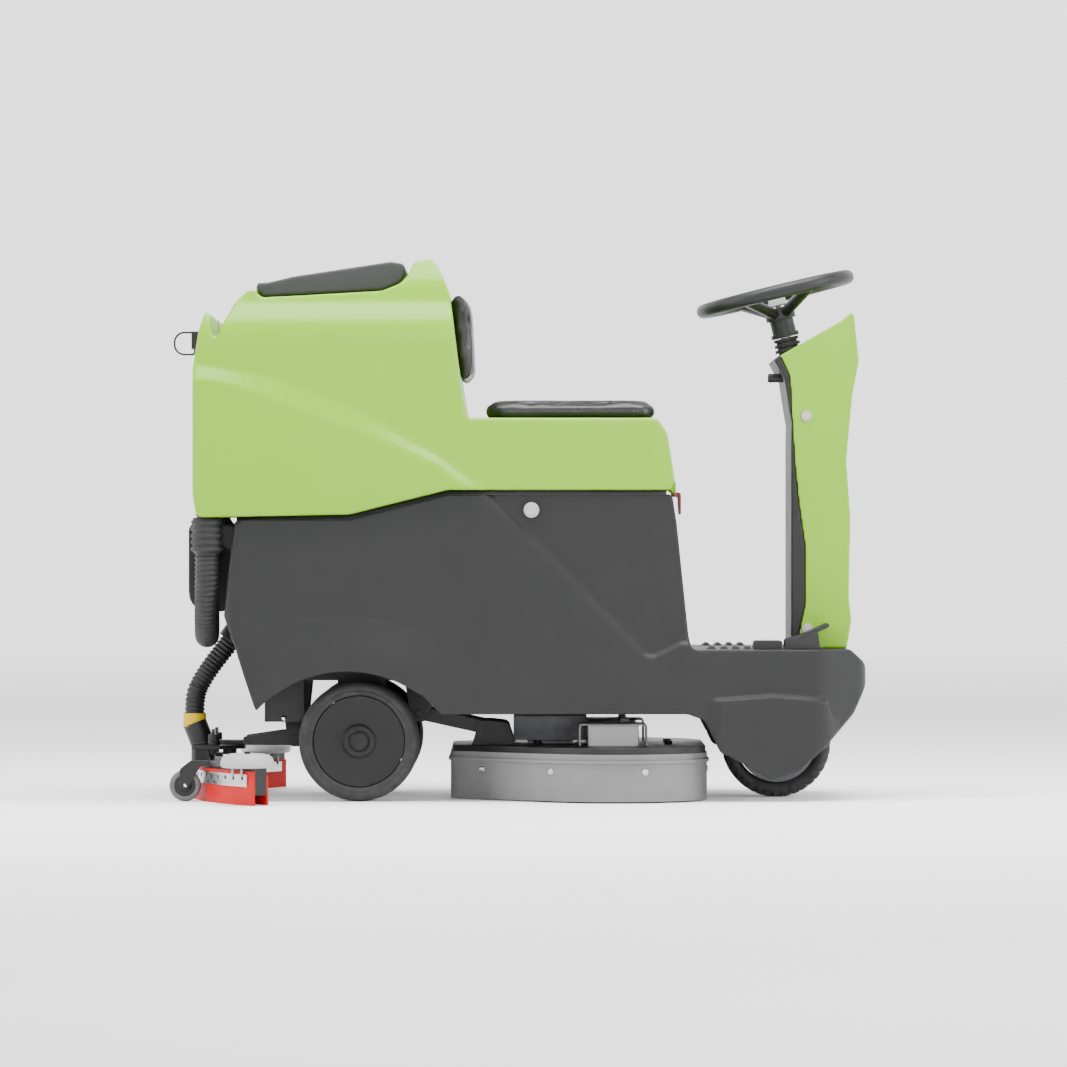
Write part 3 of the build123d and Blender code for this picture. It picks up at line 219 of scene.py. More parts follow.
def blended(tree, factor, first, second):
    """Mix two colours, either of them a socket or a plain colour."""
    mix = tree.nodes.new("ShaderNodeMix")
    mix.data_type = "RGBA"
    tree.links.new(factor, mix.inputs["Factor"])
    for socket, value in ((mix.inputs[6], first), (mix.inputs[7], second)):
        if isinstance(value, tuple):
            socket.default_value = (*value, 1)
        else:
            tree.links.new(value, socket)
    return mix.outputs[2]


def rounded(tree, radius):
    """Shading normal with its edges rounded over a radius."""
    bevel = tree.nodes.new("ShaderNodeBevel")
    bevel.samples = 2
    bevel.inputs["Radius"].default_value = radius
    return bevel.outputs["Normal"]


def edges(tree, soft):
    """1 along edges and 0 on flats: where the rounded normal turns from the true one, or by curvature on a fine mesh."""
    geometry = tree.nodes.new("ShaderNodeNewGeometry")
    if soft is None:
        return spread(tree, geometry.outputs["Pointiness"], 0, 1, 0.53, 0.6)
    turn = tree.nodes.new("ShaderNodeVectorMath")
    turn.operation = "DOT_PRODUCT"
    tree.links.new(geometry.outputs["Normal"], turn.inputs[0])
    tree.links.new(soft, turn.inputs[1])
    return spread(tree, turn.outputs["Value"], 1, 0, 0.7, 0.98)


def bumped(tree, main, height, strength, distance, under=None):
    """Connect a bump to the main shader's normal."""
    bump = tree.nodes.new("ShaderNodeBump")
    bump.inputs["Strength"].default_value = strength
    bump.inputs["Distance"].default_value = distance
    tree.links.new(height, bump.inputs["Height"])
    if under is not None:
        tree.links.new(under, bump.inputs["Normal"])
    tree.links.new(bump.outputs["Normal"], main.inputs["Normal"])
    return bump.outputs["Normal"]


def moulded(name, colour, rough=(0.4, 0.5), grain=1400, depth=0.25, mottle=0.06, wear=0.12, coat=0.0,
            metal=0.0, stretch=(1, 1, 1), gloss=0.3, shell=False):
    """Plastic, rubber or coated metal: mottled colour, paler edges, uneven gloss and a fine grain."""
    material, tree, main = shader(name)
    soft = None if shell else rounded(tree, 0.002)
    dark = tuple(c * (1 - mottle) for c in colour)
    light = tuple(min(1, c * (1 + mottle)) for c in colour)
    base = blended(tree, spread(tree, noise(tree, 7, 5, stretch), 0, 1), dark, light)
    worn = tuple(min(1, c + (1 - c) * wear) for c in colour)
    paler = tree.nodes.new("ShaderNodeMath")
    paler.operation = "MULTIPLY"
    tree.links.new(edges(tree, soft), paler.inputs[0])
    tree.links.new(spread(tree, noise(tree, 60, 4), 0.2, 1), paler.inputs[1])
    base = blended(tree, paler.outputs[0], base, worn)
    tree.links.new(base, main.inputs["Base Color"])
    tree.links.new(spread(tree, noise(tree, 25, 4, stretch), *rough), main.inputs["Roughness"])
    main.inputs["Metallic"].default_value = metal
    main.inputs["Specular IOR Level"].default_value = gloss
    main.inputs["Coat Weight"].default_value = coat
    main.inputs["Coat Roughness"].default_value = 0.15
    bumped(tree, main, noise(tree, grain, 2, stretch), depth, 0.0004, soft)
    return material


def vinyl_material():
    """Black seat vinyl with a pebbled leather grain."""
    material, tree, main = shader("vinyl")
    place = tree.nodes.new("ShaderNodeTexCoord")
    cells = tree.nodes.new("ShaderNodeTexVoronoi")
    cells.feature = "DISTANCE_TO_EDGE"
    cells.inputs["Scale"].default_value = 420
    tree.links.new(place.outputs["Object"], cells.inputs["Vector"])
    tree.links.new(
        blended(tree, spread(tree, noise(tree, 9, 5), 0, 1), (0.006, 0.0063, 0.006), (0.010, 0.0104, 0.010)),
        main.inputs["Base Color"],
    )
    tree.links.new(spread(tree, noise(tree, 40, 4), 0.26, 0.4), main.inputs["Roughness"])
    main.inputs["Specular IOR Level"].default_value = 0.3
    main.inputs["Coat Weight"].default_value = 0.12
    main.inputs["Coat Roughness"].default_value = 0.2
    grain = spread(tree, cells.outputs["Distance"], 0, 1, 0.0, 0.25)
    bumped(tree, main, grain, 0.3, 0.0003)
    return material


def rubber_dusty(name, colour, dust=(0.06, 0.059, 0.056), amount=0.2, rough=(0.7, 0.9)):
    """Rubber with pale dust caught low down and in patches."""
    material, tree, main = shader(name)
    height = tree.nodes.new("ShaderNodeSeparateXYZ")
    place = tree.nodes.new("ShaderNodeTexCoord")
    tree.links.new(place.outputs["Object"], height.inputs[0])
    low = spread(tree, height.outputs["Z"], amount, amount * 0.15, 0.0, 0.12)
    patch = tree.nodes.new("ShaderNodeMath")
    patch.operation = "MULTIPLY"
    tree.links.new(low, patch.inputs[0])
    tree.links.new(spread(tree, noise(tree, 30, 6), 0.0, 1.0), patch.inputs[1])
    base = blended(tree, spread(tree, noise(tree, 10, 4), 0, 1), tuple(c * 0.9 for c in colour),
                   tuple(min(1, c * 1.12) for c in colour))
    tree.links.new(blended(tree, patch.outputs[0], base, dust), main.inputs["Base Color"])
    tree.links.new(spread(tree, noise(tree, 50, 4), *rough), main.inputs["Roughness"])
    bumped(tree, main, noise(tree, 900, 3), 0.3, 0.0004)
    return material


def make_materials():
    """One material for each slot of the record."""
    return {
        "green_shell": moulded("green_shell", (0.15, 0.335, 0.0), (0.3, 0.38), 700, 0.12, 0.03, 0.03, 0.1, shell=True),
        "dark_shell": moulded("dark_shell", (0.0115, 0.0115, 0.012), (0.42, 0.5), 900, 0.3, 0.05, 0.015, gloss=0.2, shell=True),
        "lid_plastic": moulded("lid_plastic", (0.024, 0.025, 0.026), (0.4, 0.5), 1100, 0.35, 0.05, 0.03, shell=True),
        "vinyl": vinyl_material(),
        "black_steel": moulded("black_steel", (0.005, 0.005, 0.0055), (0.38, 0.46), 1500, 0.35, 0.06, 0.06, 0.0),
        "bright_steel": moulded("bright_steel", (0.5, 0.5, 0.51), (0.22, 0.38), 900, 0.15, 0.08, 0.2, 0.0,
                                1.0, (1, 1, 6)),
        "tyre_rubber": rubber_dusty("tyre_rubber", (0.009, 0.009, 0.0095)),
        "wheel_disc": moulded("wheel_disc", (0.008, 0.008, 0.0085), (0.42, 0.55), 1200, 0.3, 0.06, 0.03, gloss=0.2),
        "hub_motor": moulded("hub_motor", (0.08, 0.08, 0.085), (0.35, 0.5), 500, 0.5, 0.1, 0.3, 0.0, 0.8),
        "black_plastic": moulded("black_plastic", (0.007, 0.007, 0.0075), (0.36, 0.46), 1300, 0.35, 0.08, 0.04),
        "light_button": moulded("light_button", (0.4, 0.405, 0.41), (0.35, 0.45), 900, 0.15, 0.03, 0.1),
        "skirt_grey": rubber_dusty("skirt_grey", (0.115, 0.115, 0.118), (0.2, 0.196, 0.19), 0.1, (0.62, 0.72)),
        "cover_grey": moulded("cover_grey", (0.33, 0.33, 0.335), (0.4, 0.5), 900, 0.2, 0.04, 0.1),
        "roller_grey": moulded("roller_grey", (0.34, 0.34, 0.345), (0.45, 0.6), 900, 0.2, 0.06, 0.1),
        "castor_grey": rubber_dusty("castor_grey", (0.09, 0.09, 0.092)),
        "red_rubber": moulded("red_rubber", (0.42, 0.0, 0.0), (0.5, 0.6), 600, 0.2, 0.05, 0.0, 0.0, gloss=0.15),
        "black_rubber": moulded("black_rubber", (0.009, 0.009, 0.0095), (0.42, 0.58), 1100, 0.3, 0.08, 0.05),
        "yellow_cuff": moulded("yellow_cuff", (0.5, 0.33, 0.0), (0.45, 0.55), 900, 0.2, 0.05, 0.0, gloss=0.2),
        "latch_red": moulded("latch_red", (0.14, 0.01, 0.014), (0.35, 0.45), 900, 0.2, 0.05, 0.1),
        "battery_case": moulded("battery_case", (0.015, 0.015, 0.016), (0.45, 0.6), 900, 0.4, 0.08, 0.08),
        "water_tank": moulded("water_tank", (0.4, 0.4, 0.37), (0.4, 0.55), 500, 0.2, 0.05, 0.1),
        "bristle": moulded("bristle", (0.04, 0.05, 0.09), (0.5, 0.7), 600, 0.4, 0.3, 0.3),
    }


# ---------------------------------------------------------------- camera, floor and light


def make_camera():
    """Level camera square to the machine's right side."""
    data = bpy.data.cameras.new("camera")
    data.lens = 211
    data.sensor_width = 36
    data.clip_end = 60
    camera = bpy.data.objects.new("camera", data)
    bpy.context.scene.collection.objects.link(camera)
    camera.location = (0.032, -12.5, 0.525)
    camera.rotation_euler = (pi / 2, 0, 0)
    bpy.context.scene.camera = camera


def make_stage():
    """Round pale floor that curves up into a backdrop on every side, far outside the camera's circle; it glows faintly
    by the machine and more strongly further out, a painted glow that makes the backdrop read white.
    """
    profile = [(0, 0), (4, 0), (9, 0), (16, 0)]
    profile += [(16 + 6 * sin(pi / 2 * i / 12), 6 - 6 * cos(pi / 2 * i / 12)) for i in range(1, 13)]
    data = lathe(profile + [(22, 20)], (0, 0, 0), (0, 0, 1), 96)
    data.shade_smooth()
    material, tree, main = shader("floor_paint")
    tree.links.new(blended(tree, spread(tree, noise(tree, 1.5, 3), 0, 1), (0.9, 0.9, 0.9), (0.93, 0.93, 0.93)),
                   main.inputs["Base Color"])
    main.inputs["Roughness"].default_value = 0.7
    # Painted glow: the floor emits light, weakly near the centre and strongly far out, so the backdrop reads white.
    main.inputs["Emission Color"].default_value = (1, 1, 1, 1)
    place = tree.nodes.new("ShaderNodeTexCoord")
    away = tree.nodes.new("ShaderNodeVectorMath")
    away.operation = "LENGTH"
    tree.links.new(place.outputs["Object"], away.inputs[0])
    tree.links.new(spread(tree, away.outputs["Value"], 0.1, 0.85, 2.5, 15.0), main.inputs["Emission Strength"])
    data.materials.append(material)
    new_object("floor", data)


def soft_box(name, place, target, size, power):
    """Area light aimed at a point."""
    data = bpy.data.lights.new(name, "AREA")
    data.shape = "RECTANGLE"
    data.size, data.size_y = size
    data.energy = power
    light = bpy.data.objects.new(name, data)
    bpy.context.scene.collection.objects.link(light)
    light.location = place
    light.rotation_euler = (Vector(target) - Vector(place)).to_track_quat("-Z", "Y").to_euler()


def make_lights():
    """Even white surround with a large soft box above and weaker ones at the front and sides."""
    world = bpy.data.worlds.new("surround")
    bpy.context.scene.world = world
    world.use_nodes = True
    sky = world.node_tree.nodes["Background"]
    sky.inputs["Color"].default_value = (1, 1, 1, 1)
    sky.inputs["Strength"].default_value = 0.42
    soft_box("top_light", (0.2, -0.6, 3.6), (0, 0, 0.4), (3.6, 2.4), 400)
    soft_box("front_light", (1.5, -6.5, 2.2), (0, 0, 0.5), (4.0, 2.0), 120)
    soft_box("left_light", (-4.0, -1.5, 1.8), (0, 0, 0.6), (1.2, 2.5), 110)
    soft_box("right_light", (4.0, -1.5, 1.8), (0, 0, 0.6), (1.2, 2.5), 110)


# ---------------------------------------------------------------- hoses


def route_line(name, points):
    """Centreline of a hose: one open NURBS spline through its control points, read as mesh points."""
    data = bpy.data.curves.new(name, "CURVE")
    data.dimensions = "3D"
    data.resolution_u = 24
    spline = data.splines.new("NURBS")
    spline.points.add(len(points) - 1)
    for point, place in zip(spline.points, points):
        point.co = (*place, 1)
    spline.order_u = 3
    spline.use_endpoint_u = True
    obj = bpy.data.objects.new(name, data)
    bpy.context.scene.collection.objects.link(obj)
    mesh = bpy.data.meshes.new_from_object(obj)
    line = [Vector(v.co) for v in mesh.vertices]
    bpy.data.objects.remove(obj)
    return line


def even(line, gap):
    """Points a fixed gap apart along a line, and the way the line runs at each."""
    lengths = [0]
    for a, b in zip(line, line[1:]):
        lengths.append(lengths[-1] + (b - a).length)
    count = max(2, round(lengths[-1] / gap))
    places = []
    k = 0
    for i in range(count + 1):
        at = lengths[-1] * i / count
        while k < len(line) - 2 and lengths[k + 1] < at:
            k += 1
        span = max(lengths[k + 1] - lengths[k], 1e-9)
        places.append(line[k].lerp(line[k + 1], (at - lengths[k]) / span))
    return places, lengths[-1]


def hose_mesh(line, radius, pitch, depth, turns=40):
    """Corrugated hose: a tube whose radius swells once every pitch."""
    places, length = even(line, pitch / 8)
    mesh = bmesh.new()
    rings = []
    side = None
    for i, place in enumerate(places):
        ahead = places[min(i + 1, len(places) - 1)] - places[max(i - 1, 0)]
        way = ahead.normalized()
        if side is None:
            side = way.orthogonal().normalized()
        side = (side - way * side.dot(way)).normalized()
        up = way.cross(side)
        wave = 0.5 + 0.5 * cos(2 * pi * i / 8)
        r = radius - depth * (1 - wave ** 0.6)
        rings.append([mesh.verts.new(place + (side * cos(2 * pi * j / turns) + up * sin(2 * pi * j / turns)) * r)
                      for j in range(turns)])
    for low, high in zip(rings, rings[1:]):
        for j in range(turns):
            n = (j + 1) % turns
            mesh.faces.new((low[j], low[n], high[n], high[j]))
    mesh.faces.new(rings[0])
    mesh.faces.new(rings[-1])
    bmesh.ops.recalc_face_normals(mesh, faces=mesh.faces)
    data = bpy.data.meshes.new("hose")
    mesh.to_mesh(data)
    mesh.free()
    return data, length


def make_suction_hose():
    """Short bellows hose from the squeegee to the machine, in two lengths that meet in one groove."""
    route = [(-0.645, 0, 0.166), (-0.645, 0, 0.200), (-0.632, 0, 0.230), (-0.611, 0, 0.262),
             (-0.592, 0, 0.286), (-0.574, 0, 0.310)]
    line = route_line("suction_route", route)
    places, length = even(line, 0.001)
    cut = round(len(places) * 0.34)
    lower, _ = hose_mesh(places[:cut + 1], 0.0205, 0.0085, 0.0028)
    upper, _ = hose_mesh(places[cut:], 0.0205, 0.0085, 0.0028)
    lower = piece("suction_hose_lower", lower, "black_rubber", None, "suction_hose")
    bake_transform(lower)
    upper = piece("suction_hose_upper", upper, "black_rubber", None)
    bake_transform(upper)


def make_drain_hose():
    """Drain hose from under the tank round the back and up to its cap."""
    route = [(-0.606, -0.280, 0.487), (-0.606, -0.280, 0.438), (-0.608, -0.259, 0.382), (-0.610, -0.212, 0.337),
             (-0.613, -0.147, 0.321), (-0.615, -0.082, 0.330), (-0.618, -0.027, 0.366), (-0.620, 0.004, 0.424),
             (-0.621, 0.012, 0.492), (-0.620, 0.011, 0.600), (-0.620, 0.010, 0.742), (-0.620, 0.010, 0.880)]
    line = route_line("drain_route", route)
    data, length = hose_mesh(line, 0.024, 0.0095, 0.003)
    hose = piece("drain_hose_bellows", data, "black_rubber", None, "drain_hose")
    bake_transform(hose)
    low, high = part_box("drain_collar")
    x, y = (low[0] + high[0]) / 2, (low[1] + high[1]) / 2
    r, tall = (high[0] - low[0]) / 2, high[2] - low[2]
    profile = [(r * 0.8, 0)]
    for i in range(5):
        z = tall * (0.04 + 0.19 * i)
        profile += [(r * 0.88, z), (r * 0.99, z + tall * 0.03), (r * 0.99, z + tall * 0.11), (r * 0.88, z + tall * 0.14)]
    profile += [(r * 0.9, tall * 0.99), (r * 0.8, tall)]
    collar = piece("drain_collar_rings", lathe(profile, (x, y, low[2]), (0, 0, 1), 64), "black_rubber", None,
                   "drain_collar")
    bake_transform(collar)


# ---------------------------------------------------------------- moulded shells


def crease(xs, zs, x):
    """Height of a crease line at each x."""
    return np.interp(x, xs, zs)


def push_sides(mesh, inner, outer, out_by):
    """Move the side walls in or out: out_by(x, z) in metres, full beyond |y| = outer and none inside inner."""
    p = points_of(mesh)
    share = step(np.abs(p[:, 1]), inner, outer)
    p[:, 1] += np.sign(p[:, 1]) * share * out_by(p[:, 0], p[:, 2])
    set_points(mesh, p)


def tank_side_form(x, z):
    """Shoulder strip of the tank: the wall leans in between the lower crease and the upper one."""
    upper = crease([-0.64, -0.584, -0.49, -0.385, -0.281, -0.151, -0.075, 0.02], [0.858, 0.851, 0.832, 0.794, 0.748, 0.678, 0.623, 0.55], x)
    lower = crease([-0.64, -0.598, -0.546, -0.455, -0.35, -0.245, -0.151, -0.11, 0.0], [0.824, 0.823, 0.811, 0.78, 0.74, 0.699, 0.654, 0.622, 0.54], x)
    return -0.017 * np.clip((z - lower) / (upper - lower), 0, 1)


def body_side_form(x, z):
    """Recess ahead of the diagonal crease, and the blister under the front ledge."""
    away = ((x + 0.067) * 0.317 - (0.6 - z) * 0.309) / 0.4427
    floor_line = crease([0.2, 0.242, 0.27, 0.318, 0.36], [0.283, 0.283, 0.283, 0.308, 0.31], x)
    recess = -0.011 * step(away, 0.0, 0.016) * step(z, floor_line - 0.004, floor_line + 0.01)
    top = crease([0.376, 0.499, 0.605, 0.617], [0.202, 0.211, 0.202, 0.169], x)
    under = step(top - z, -0.002, 0.007) * step(x, 0.37, 0.40) * step(-x, -0.64, -0.60)
    belly = 0.014 * under * step(z, 0.07, 0.17)
    return recess + belly


def shape_fender(mesh):
    """Wheel arch band: full proud width near the arch, sloping to the wall above and dying out ahead."""
    p = points_of(mesh)
    y = np.abs(p[:, 1])
    x, z = p[:, 0] + 0.332, p[:, 2] - 0.015
    r, turn = np.hypot(x, z), np.arctan2(x, z)
    fade = 1 - step(turn, radians(4), radians(38))
    out = 0.018 * (1 - np.clip((r - 0.281) / 0.068, 0, 1)) * fade
    flat = np.minimum(y, 0.3)
    near = step(y, 0.262, 0.292) * (p[:, 2] < 0.40)
    p[:, 1] = np.sign(p[:, 1]) * np.where(p[:, 0] < -0.05, flat + out * near, flat)
    set_points(mesh, p)


def make_shells():
    """Tank, lower body and the other moulded covers, with rounded edges and their creases."""
    fine = 0.004
    tank = remeshed("recovery_tank", fine, 6)
    push_sides(tank, 0.25, 0.29, tank_side_form)
    piece("tank_shell", tank, "green_shell", "tank", "recovery_tank")
    body = remeshed("lower_body", fine, 4)
    shape_fender(body)
    push_sides(body, 0.2, 0.26, body_side_form)
    piece("body_shell", body, "dark_shell", "chassis", "lower_body")
    for node, slot, body_name, voxel, passes in (
        ("console_cover", "green_shell", "chassis", 0.003, 3),
        ("console_panel", "dark_shell", "chassis", 0.003, 2),
        ("rear_cover", "dark_shell", "chassis", 0.003, 4),
        ("tank_lid", "lid_plastic", "lid", 0.003, 3),
        ("motor_covers", "cover_grey", "deck", 0.0025, 3),
    ):
        size = voxel * 1
        piece(node + "_shell", remeshed(node, size, passes), slot, body_name, node)


# ---------------------------------------------------------------- cushions


def cushion(node, body, front, limit, welt):
    """Padded cushion blown up from its CAD solid by a cloth simulation, with a sewn welt round its edge."""
    mesh = nodes[node].data.copy()
    middle = points_of(mesh).mean(axis=0)
    low, high = (np.array(c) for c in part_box(node))
    centre = (low + high) / 2
    p = points_of(mesh)
    p = centre + (p - centre) * (1 - 0.008 / (high - low))
    set_points(mesh, p)
    obj = new_object(node + "_work", mesh)
    remesh = obj.modifiers.new("remesh", "REMESH")
    remesh.mode = "VOXEL"
    remesh.voxel_size = 0.006
    smooth = obj.modifiers.new("smooth", "SMOOTH")
    smooth.iterations = 4
    mesh = applied(obj)
    before = points_of(mesh)
    obj = new_object(node + "_cloth", mesh)
    cloth = obj.modifiers.new("cloth", "CLOTH")
    cloth.settings.use_pressure = True
    cloth.settings.uniform_pressure_force = 4
    cloth.settings.effector_weights.gravity = 0
    for number in range(1, 21):
        bpy.context.scene.frame_set(number)
    mesh = applied(obj)
    bpy.context.scene.frame_set(1)
    after = points_of(mesh)
    moved = after - before
    far = np.linalg.norm(moved, axis=1, keepdims=True)
    after = before + moved * np.minimum(1, limit / np.maximum(far, 1e-9))
    axis = int(np.argmax(np.abs(front)))
    others = [i for i in range(3) if i != axis]
    reach = np.max(np.abs(after[:, others] - centre[others]) / ((high - low)[others] / 2), axis=1)
    depth = (after[:, axis] - centre[axis]) * np.sign(front[axis]) / ((high - low)[axis] / 2)
    groove = np.exp(-((reach - 0.86) / 0.012) ** 2) * step(depth, 0.2, 0.6)
    after[:, axis] -= np.sign(front[axis]) * groove * welt
    set_points(mesh, after)
    obj = new_object(node + "_sub", mesh)
    more = obj.modifiers.new("more", "SUBSURF")
    more.levels = 1
    obj = piece(node + "_padded", applied(obj), "vinyl", body, node)


# ---------------------------------------------------------------- wheels and brushes


def make_rear_wheels():
    """Solid tyre with a rounded tread and shoulder lines, and a dished disc with its hub and bolt."""
    for side, name in ((1, "left"), (-1, "right")):
        low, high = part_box("rear_tyre_" + name)
        centre = [(low[0] + high[0]) / 2, 0, (low[2] + high[2]) / 2]
        r, y_in, y_out = (high[2] - low[2]) / 2, min(abs(low[1]), abs(high[1])), max(abs(low[1]), abs(high[1]))
        way = (0, side, 0)
        profile = [(0.0905, y_in + 0.004), (r - 0.012, y_in), (r - 0.006, y_in + 0.003), (r - 0.001, y_in + 0.012),
                   (r, y_in + 0.024)]
        for k in range(4):
            y = y_in + 0.026 + k * 0.0085
            profile += [(r, y), (r - 0.0025, y + 0.0012), (r - 0.0025, y + 0.0022), (r, y + 0.0034)]
        profile += [(r, y_out - 0.022), (r - 0.001, y_out - 0.012), (r - 0.005, y_out - 0.004), (r - 0.010, y_out),
                    (r - 0.016, y_out), (r - 0.0175, y_out - 0.0012), (r - 0.019, y_out), (0.0935, y_out - 0.0005),
                    (0.0905, y_out - 0.003)]
        piece("rear_tyre_round_" + name, lathe(profile, centre, way, 160), "tyre_rubber", "rear_wheel_" + name,
              "rear_tyre_" + name)
        face = y_out
        disc = [(0.0125, y_in + 0.012), (0.034, y_in + 0.012), (0.036, y_in + 0.028), (0.0895, y_in + 0.028),
                (0.0897, face - 0.006), (0.0890, face - 0.0035), (0.0875, face - 0.0025), (0.0860, face - 0.004),
                (0.0840, face - 0.0045), (0.060, face - 0.007), (0.036, face - 0.0075), (0.0330, face - 0.007),
                (0.0315, face - 0.003), (0.0300, face - 0.0015), (0.0200, face - 0.001), (0.0190, face - 0.003),
                (0.0185, face - 0.003), (0.0180, face + 0.000), (0.0170, face + 0.001), (0.006, face + 0.0015),
                (0.0, face + 0.0015)]
        piece("rear_disc_" + name, lathe(disc, centre, way, 128), "wheel_disc", "rear_wheel_" + name,
              "rear_rim_" + name)


def make_drive_tyre():
    """Drive tyre with a block tread."""
    low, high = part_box("drive_tyre")
    centre = [(low[0] + high[0]) / 2, 0, (low[2] + high[2]) / 2]
    r, half = (high[2] - low[2]) / 2, (high[1] - low[1]) / 2
    turns = 288
    rows = [(0.079, -half + 0.006), (r - 0.018, -half + 0.001), (r - 0.010, -half), (r - 0.003, -half + 0.004),
            (r, -half + 0.010), (r, -0.004), (r - 0.004, -0.003), (r - 0.004, 0.003), (r, 0.004),
            (r, half - 0.010), (r - 0.003, half - 0.004), (r - 0.010, half), (r - 0.018, half - 0.001),
            (0.079, half - 0.006)]
    mesh = bmesh.new()
    rings = []
    for k, (radius, y) in enumerate(rows):
        ring = []
        for i in range(turns):
            a = 2 * pi * i / turns
            cut = 0.0045 if 2 <= k <= 11 and i % 8 in (0, 1) else 0
            lean = 0.6 * y / half * 2 * pi / 36
            ring.append(mesh.verts.new((centre[0] + (radius - cut) * cos(a + lean), y,
                                        centre[2] + (radius - cut) * sin(a + lean))))
        rings.append(ring)
    for a_ring, b_ring in zip(rings, rings[1:] + rings[:1]):
        for i in range(turns):
            j = (i + 1) % turns
            mesh.faces.new((a_ring[i], a_ring[j], b_ring[j], b_ring[i]))
    bmesh.ops.recalc_face_normals(mesh, faces=mesh.faces)
    data = bpy.data.meshes.new("tread")
    mesh.to_mesh(data)
    mesh.free()
    piece("drive_tyre_tread", data, "tyre_rubber", "drive_wheel", "drive_tyre")


def make_brushes():
    """Disc brushes: rings of bristle tufts."""
    for name in ("left", "right"):
        low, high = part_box("brush_" + name)
        x, y, r = (low[0] + high[0]) / 2, (low[1] + high[1]) / 2, (high[0] - low[0]) / 2
        tufts = []
        for ring_r, count in ((0.98, 66), (0.88, 60), (0.78, 52), (0.68, 46), (0.58, 38), (0.48, 32)):
            for i in range(count):
                a = 2 * pi * (i + 0.5 * (ring_r * 50 % 2)) / count
                spot = (x + (r * ring_r - 0.006) * cos(a), y + (r * ring_r - 0.006) * sin(a), low[2])
                tufts.append(lathe([(0.0, 0), (0.0048, 0.0005), (0.0042, 0.018), (0.003, 0.034)], spot,
                                   (0.12 * cos(a), 0.12 * sin(a), 1), 7))
        piece("bristles_" + name, joined(tufts), "bristle", "disc_" + name)


def make_skirt_details():
    """Cap screws on the deck skirt."""
    skirt = nodes["deck_skirt"]
    heads = []
    for x, side in ((-0.069, -1), (0.066, -1), (0.249, -1), (-0.069, 1), (0.066, 1), (0.249, 1)):
        reach = skirt.ray_cast(Vector((x, side * 0.6, 0.061)), Vector((0, -side, 0)))
        if reach[0]:
            heads.append(screw_head(reach[1] - reach[2] * 0.001, reach[2], 0.0065, 0.004))
    for turn in (-35, 0, 35):
        a = radians(turn)
        reach = skirt.ray_cast(Vector((0.19 + 0.5 * cos(a), 0.5 * sin(a), 0.061)), Vector((-cos(a), -sin(a), 0)))
        if reach[0]:
            heads.append(screw_head(reach[1] - reach[2] * 0.001, reach[2], 0.0065, 0.004))
    piece("skirt_screws", joined(heads), "bright_steel", "deck")


def make_gap_shade_strip():
    """Dark strip that hangs from the tank inside the rim of the battery bay: painted shade that darkens the gap
    between the tank and the lower body.
    """
    # Black strip along the gap under the tank, standing for the shade in that gap.
    line = [(-0.548, 0.556), (-0.334, 0.556), (-0.135, 0.606), (0.292, 0.606)]
    mesh = bmesh.new()
    for side in (-1, 1):
        rows = []
        for x, z in line:
            rows.append([mesh.verts.new((x, side * y, z + up)) for y, up in
                         ((0.2885, 0.008), (0.2885, -0.018), (0.2855, -0.018), (0.2855, 0.008))])
        for low, high in zip(rows, rows[1:]):
            for i in range(4):
                j = (i + 1) % 4
                mesh.faces.new((low[i], low[j], high[j], high[i]))
        mesh.faces.new(rows[0])
        mesh.faces.new(rows[-1])
    bmesh.ops.recalc_face_normals(mesh, faces=mesh.faces)
    data = bpy.data.meshes.new("skirt")
    mesh.to_mesh(data)
    mesh.free()
    piece("gap_shade_strip", data, "black_rubber", "tank")


def make_rollers():
    """Wall rollers with domed tops, and casters with a grey tyre and a dark hub."""
    for name in ("left", "right"):
        low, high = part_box("roller_" + name)
        x, y, r, tall = (low[0] + high[0]) / 2, (low[1] + high[1]) / 2, (high[0] - low[0]) / 2, high[2] - low[2]
        profile = [(0.0075, tall * 0.1), (r * 0.8, 0), (r * 0.95, tall * 0.06), (r, tall * 0.25), (r * 0.99, tall * 0.5),
                   (r * 0.93, tall * 0.75), (r * 0.8, tall * 0.92), (r * 0.6, tall), (r * 0.42, tall * 0.99),
                   (r * 0.38, tall * 0.85), (0.0075, tall * 0.82)]
        piece("roller_domed_" + name, lathe(profile, (x, y, low[2]), (0, 0, 1), 96), "roller_grey",
              "bumper_" + name, "roller_" + name)
        low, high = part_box("caster_" + name)
        centre = ((low[0] + high[0]) / 2, low[1], (low[2] + high[2]) / 2)
        r, wide = (high[2] - low[2]) / 2, high[1] - low[1]
        tyre = [(r * 0.68, wide * 0.12), (r * 0.86, wide * 0.06), (r * 0.97, wide * 0.2), (r, wide * 0.4),
                (r, wide * 0.6), (r * 0.97, wide * 0.8), (r * 0.86, wide * 0.94), (r * 0.68, wide * 0.88)]
        piece("caster_tyre_" + name, lathe(tyre, centre, (0, 1, 0), 72), "castor_grey", "castor_" + name,
              "caster_" + name)
        hub = [(0.0045, 0), (r * 0.3, 0), (r * 0.34, wide * 0.12), (r * 0.6, wide * 0.2), (r * 0.7, wide * 0.12),
               (r * 0.7, wide * 0.88), (r * 0.6, wide * 0.8), (r * 0.34, wide * 0.88), (r * 0.3, wide), (0.0045, wide)]
        piece("caster_hub_" + name, lathe(hub, centre, (0, 1, 0), 64), "black_plastic", "castor_" + name)


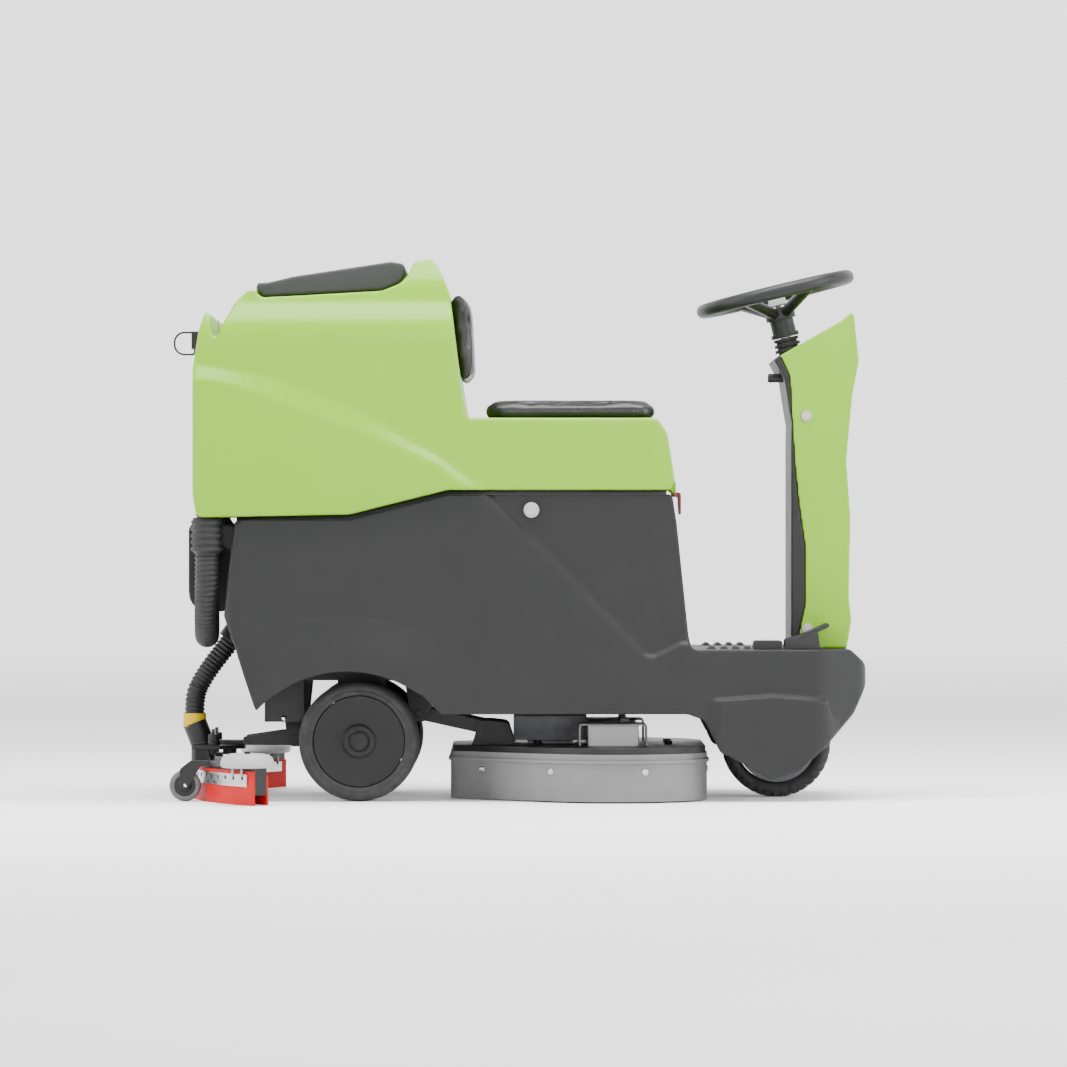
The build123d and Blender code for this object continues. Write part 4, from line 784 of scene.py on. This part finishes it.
def make_blade_slots():
    """Dark discs along the blade clamp strips where the keyhole slots are, painted shade for the insides of the slots,
    and the pale straps at their tips.
    """
    clamps = nodes["blade_clamps"]
    slots, straps = [], []
    for k in range(-12, 13):
        a = radians(2.6 * k)
        for reach_from, far in ((0.826, 0.2), (0.826, -0.2)):
            way = Vector((cos(pi - a), sin(pi - a), 0)) * (-1 if far > 0 else 1)
            start = Vector((0.176, 0, 0.052)) + Vector((cos(pi - a), sin(pi - a), 0)) * (reach_from + far)
            hit = clamps.ray_cast(start, way)
            if hit[0] and (hit[1] - start).length < 0.4:
                # Painted shade: a thin black disc on the clamp surface stands for the dark inside of a keyhole slot.
                slots.append(screw_head(hit[1] - hit[2] * 0.0004, hit[2], 0.0042, 0.0012))
                if abs(k) in (11, 12):
                    straps.append(lathe([(0.0022, 0), (0.0022, 0.026), (0.0, 0.0262)], hit[1] + hit[2] * 0.0012
                                        + Vector((0, 0, 0.004)), (0, 0, 1), 10))
    if slots:
        piece("clamp_slot_shade_discs", joined(slots), "black_rubber", "squeegee")
    if straps:
        piece("clamp_straps", joined(straps), "light_button", "squeegee")


def make_screw_rings():
    """Dark rubber washers under the pale screw caps of the body and console."""
    rings = []
    for x, z, half, r in ((0.028, 0.571, 0.300, 0.015), (0.570, 0.757, 0.150, 0.011), (0.572, 0.337, 0.150, 0.011)):
        for side in (-1, 1):
            rings.append(lathe([(r * 0.76, 0.0), (r * 0.78, 0.0016), (r * 0.95, 0.0016), (r, 0.0)],
                               (x, side * half, z), (0, side, 0), 48))
    piece("screw_washers", joined(rings), "black_rubber", "chassis")


def dress_cad_nodes():
    """Give every CAD node that still shows the material of its slot."""
    for part in frame["record"]["subparts"]:
        obj = nodes[part["node"]]
        if not obj.material_slots:
            obj.data.materials.append(materials[part["material_slot"]])
        for place in obj.material_slots:
            place.material = materials[part["material_slot"]]


make_camera()
make_stage()
make_lights()
materials = make_materials()
make_suction_hose()
make_drain_hose()
dress_cad_nodes()
make_shells()
cushion("seat_cushion", "tank", (0, 0, 1), 0.010, 0.0025)
cushion("backrest_cushion", "tank", (1, 0, 0), 0.010, 0.0025)
make_rear_wheels()
make_drive_tyre()
make_brushes()
make_skirt_details()
make_gap_shade_strip()
make_rollers()
make_blade_slots()
make_screw_rings()
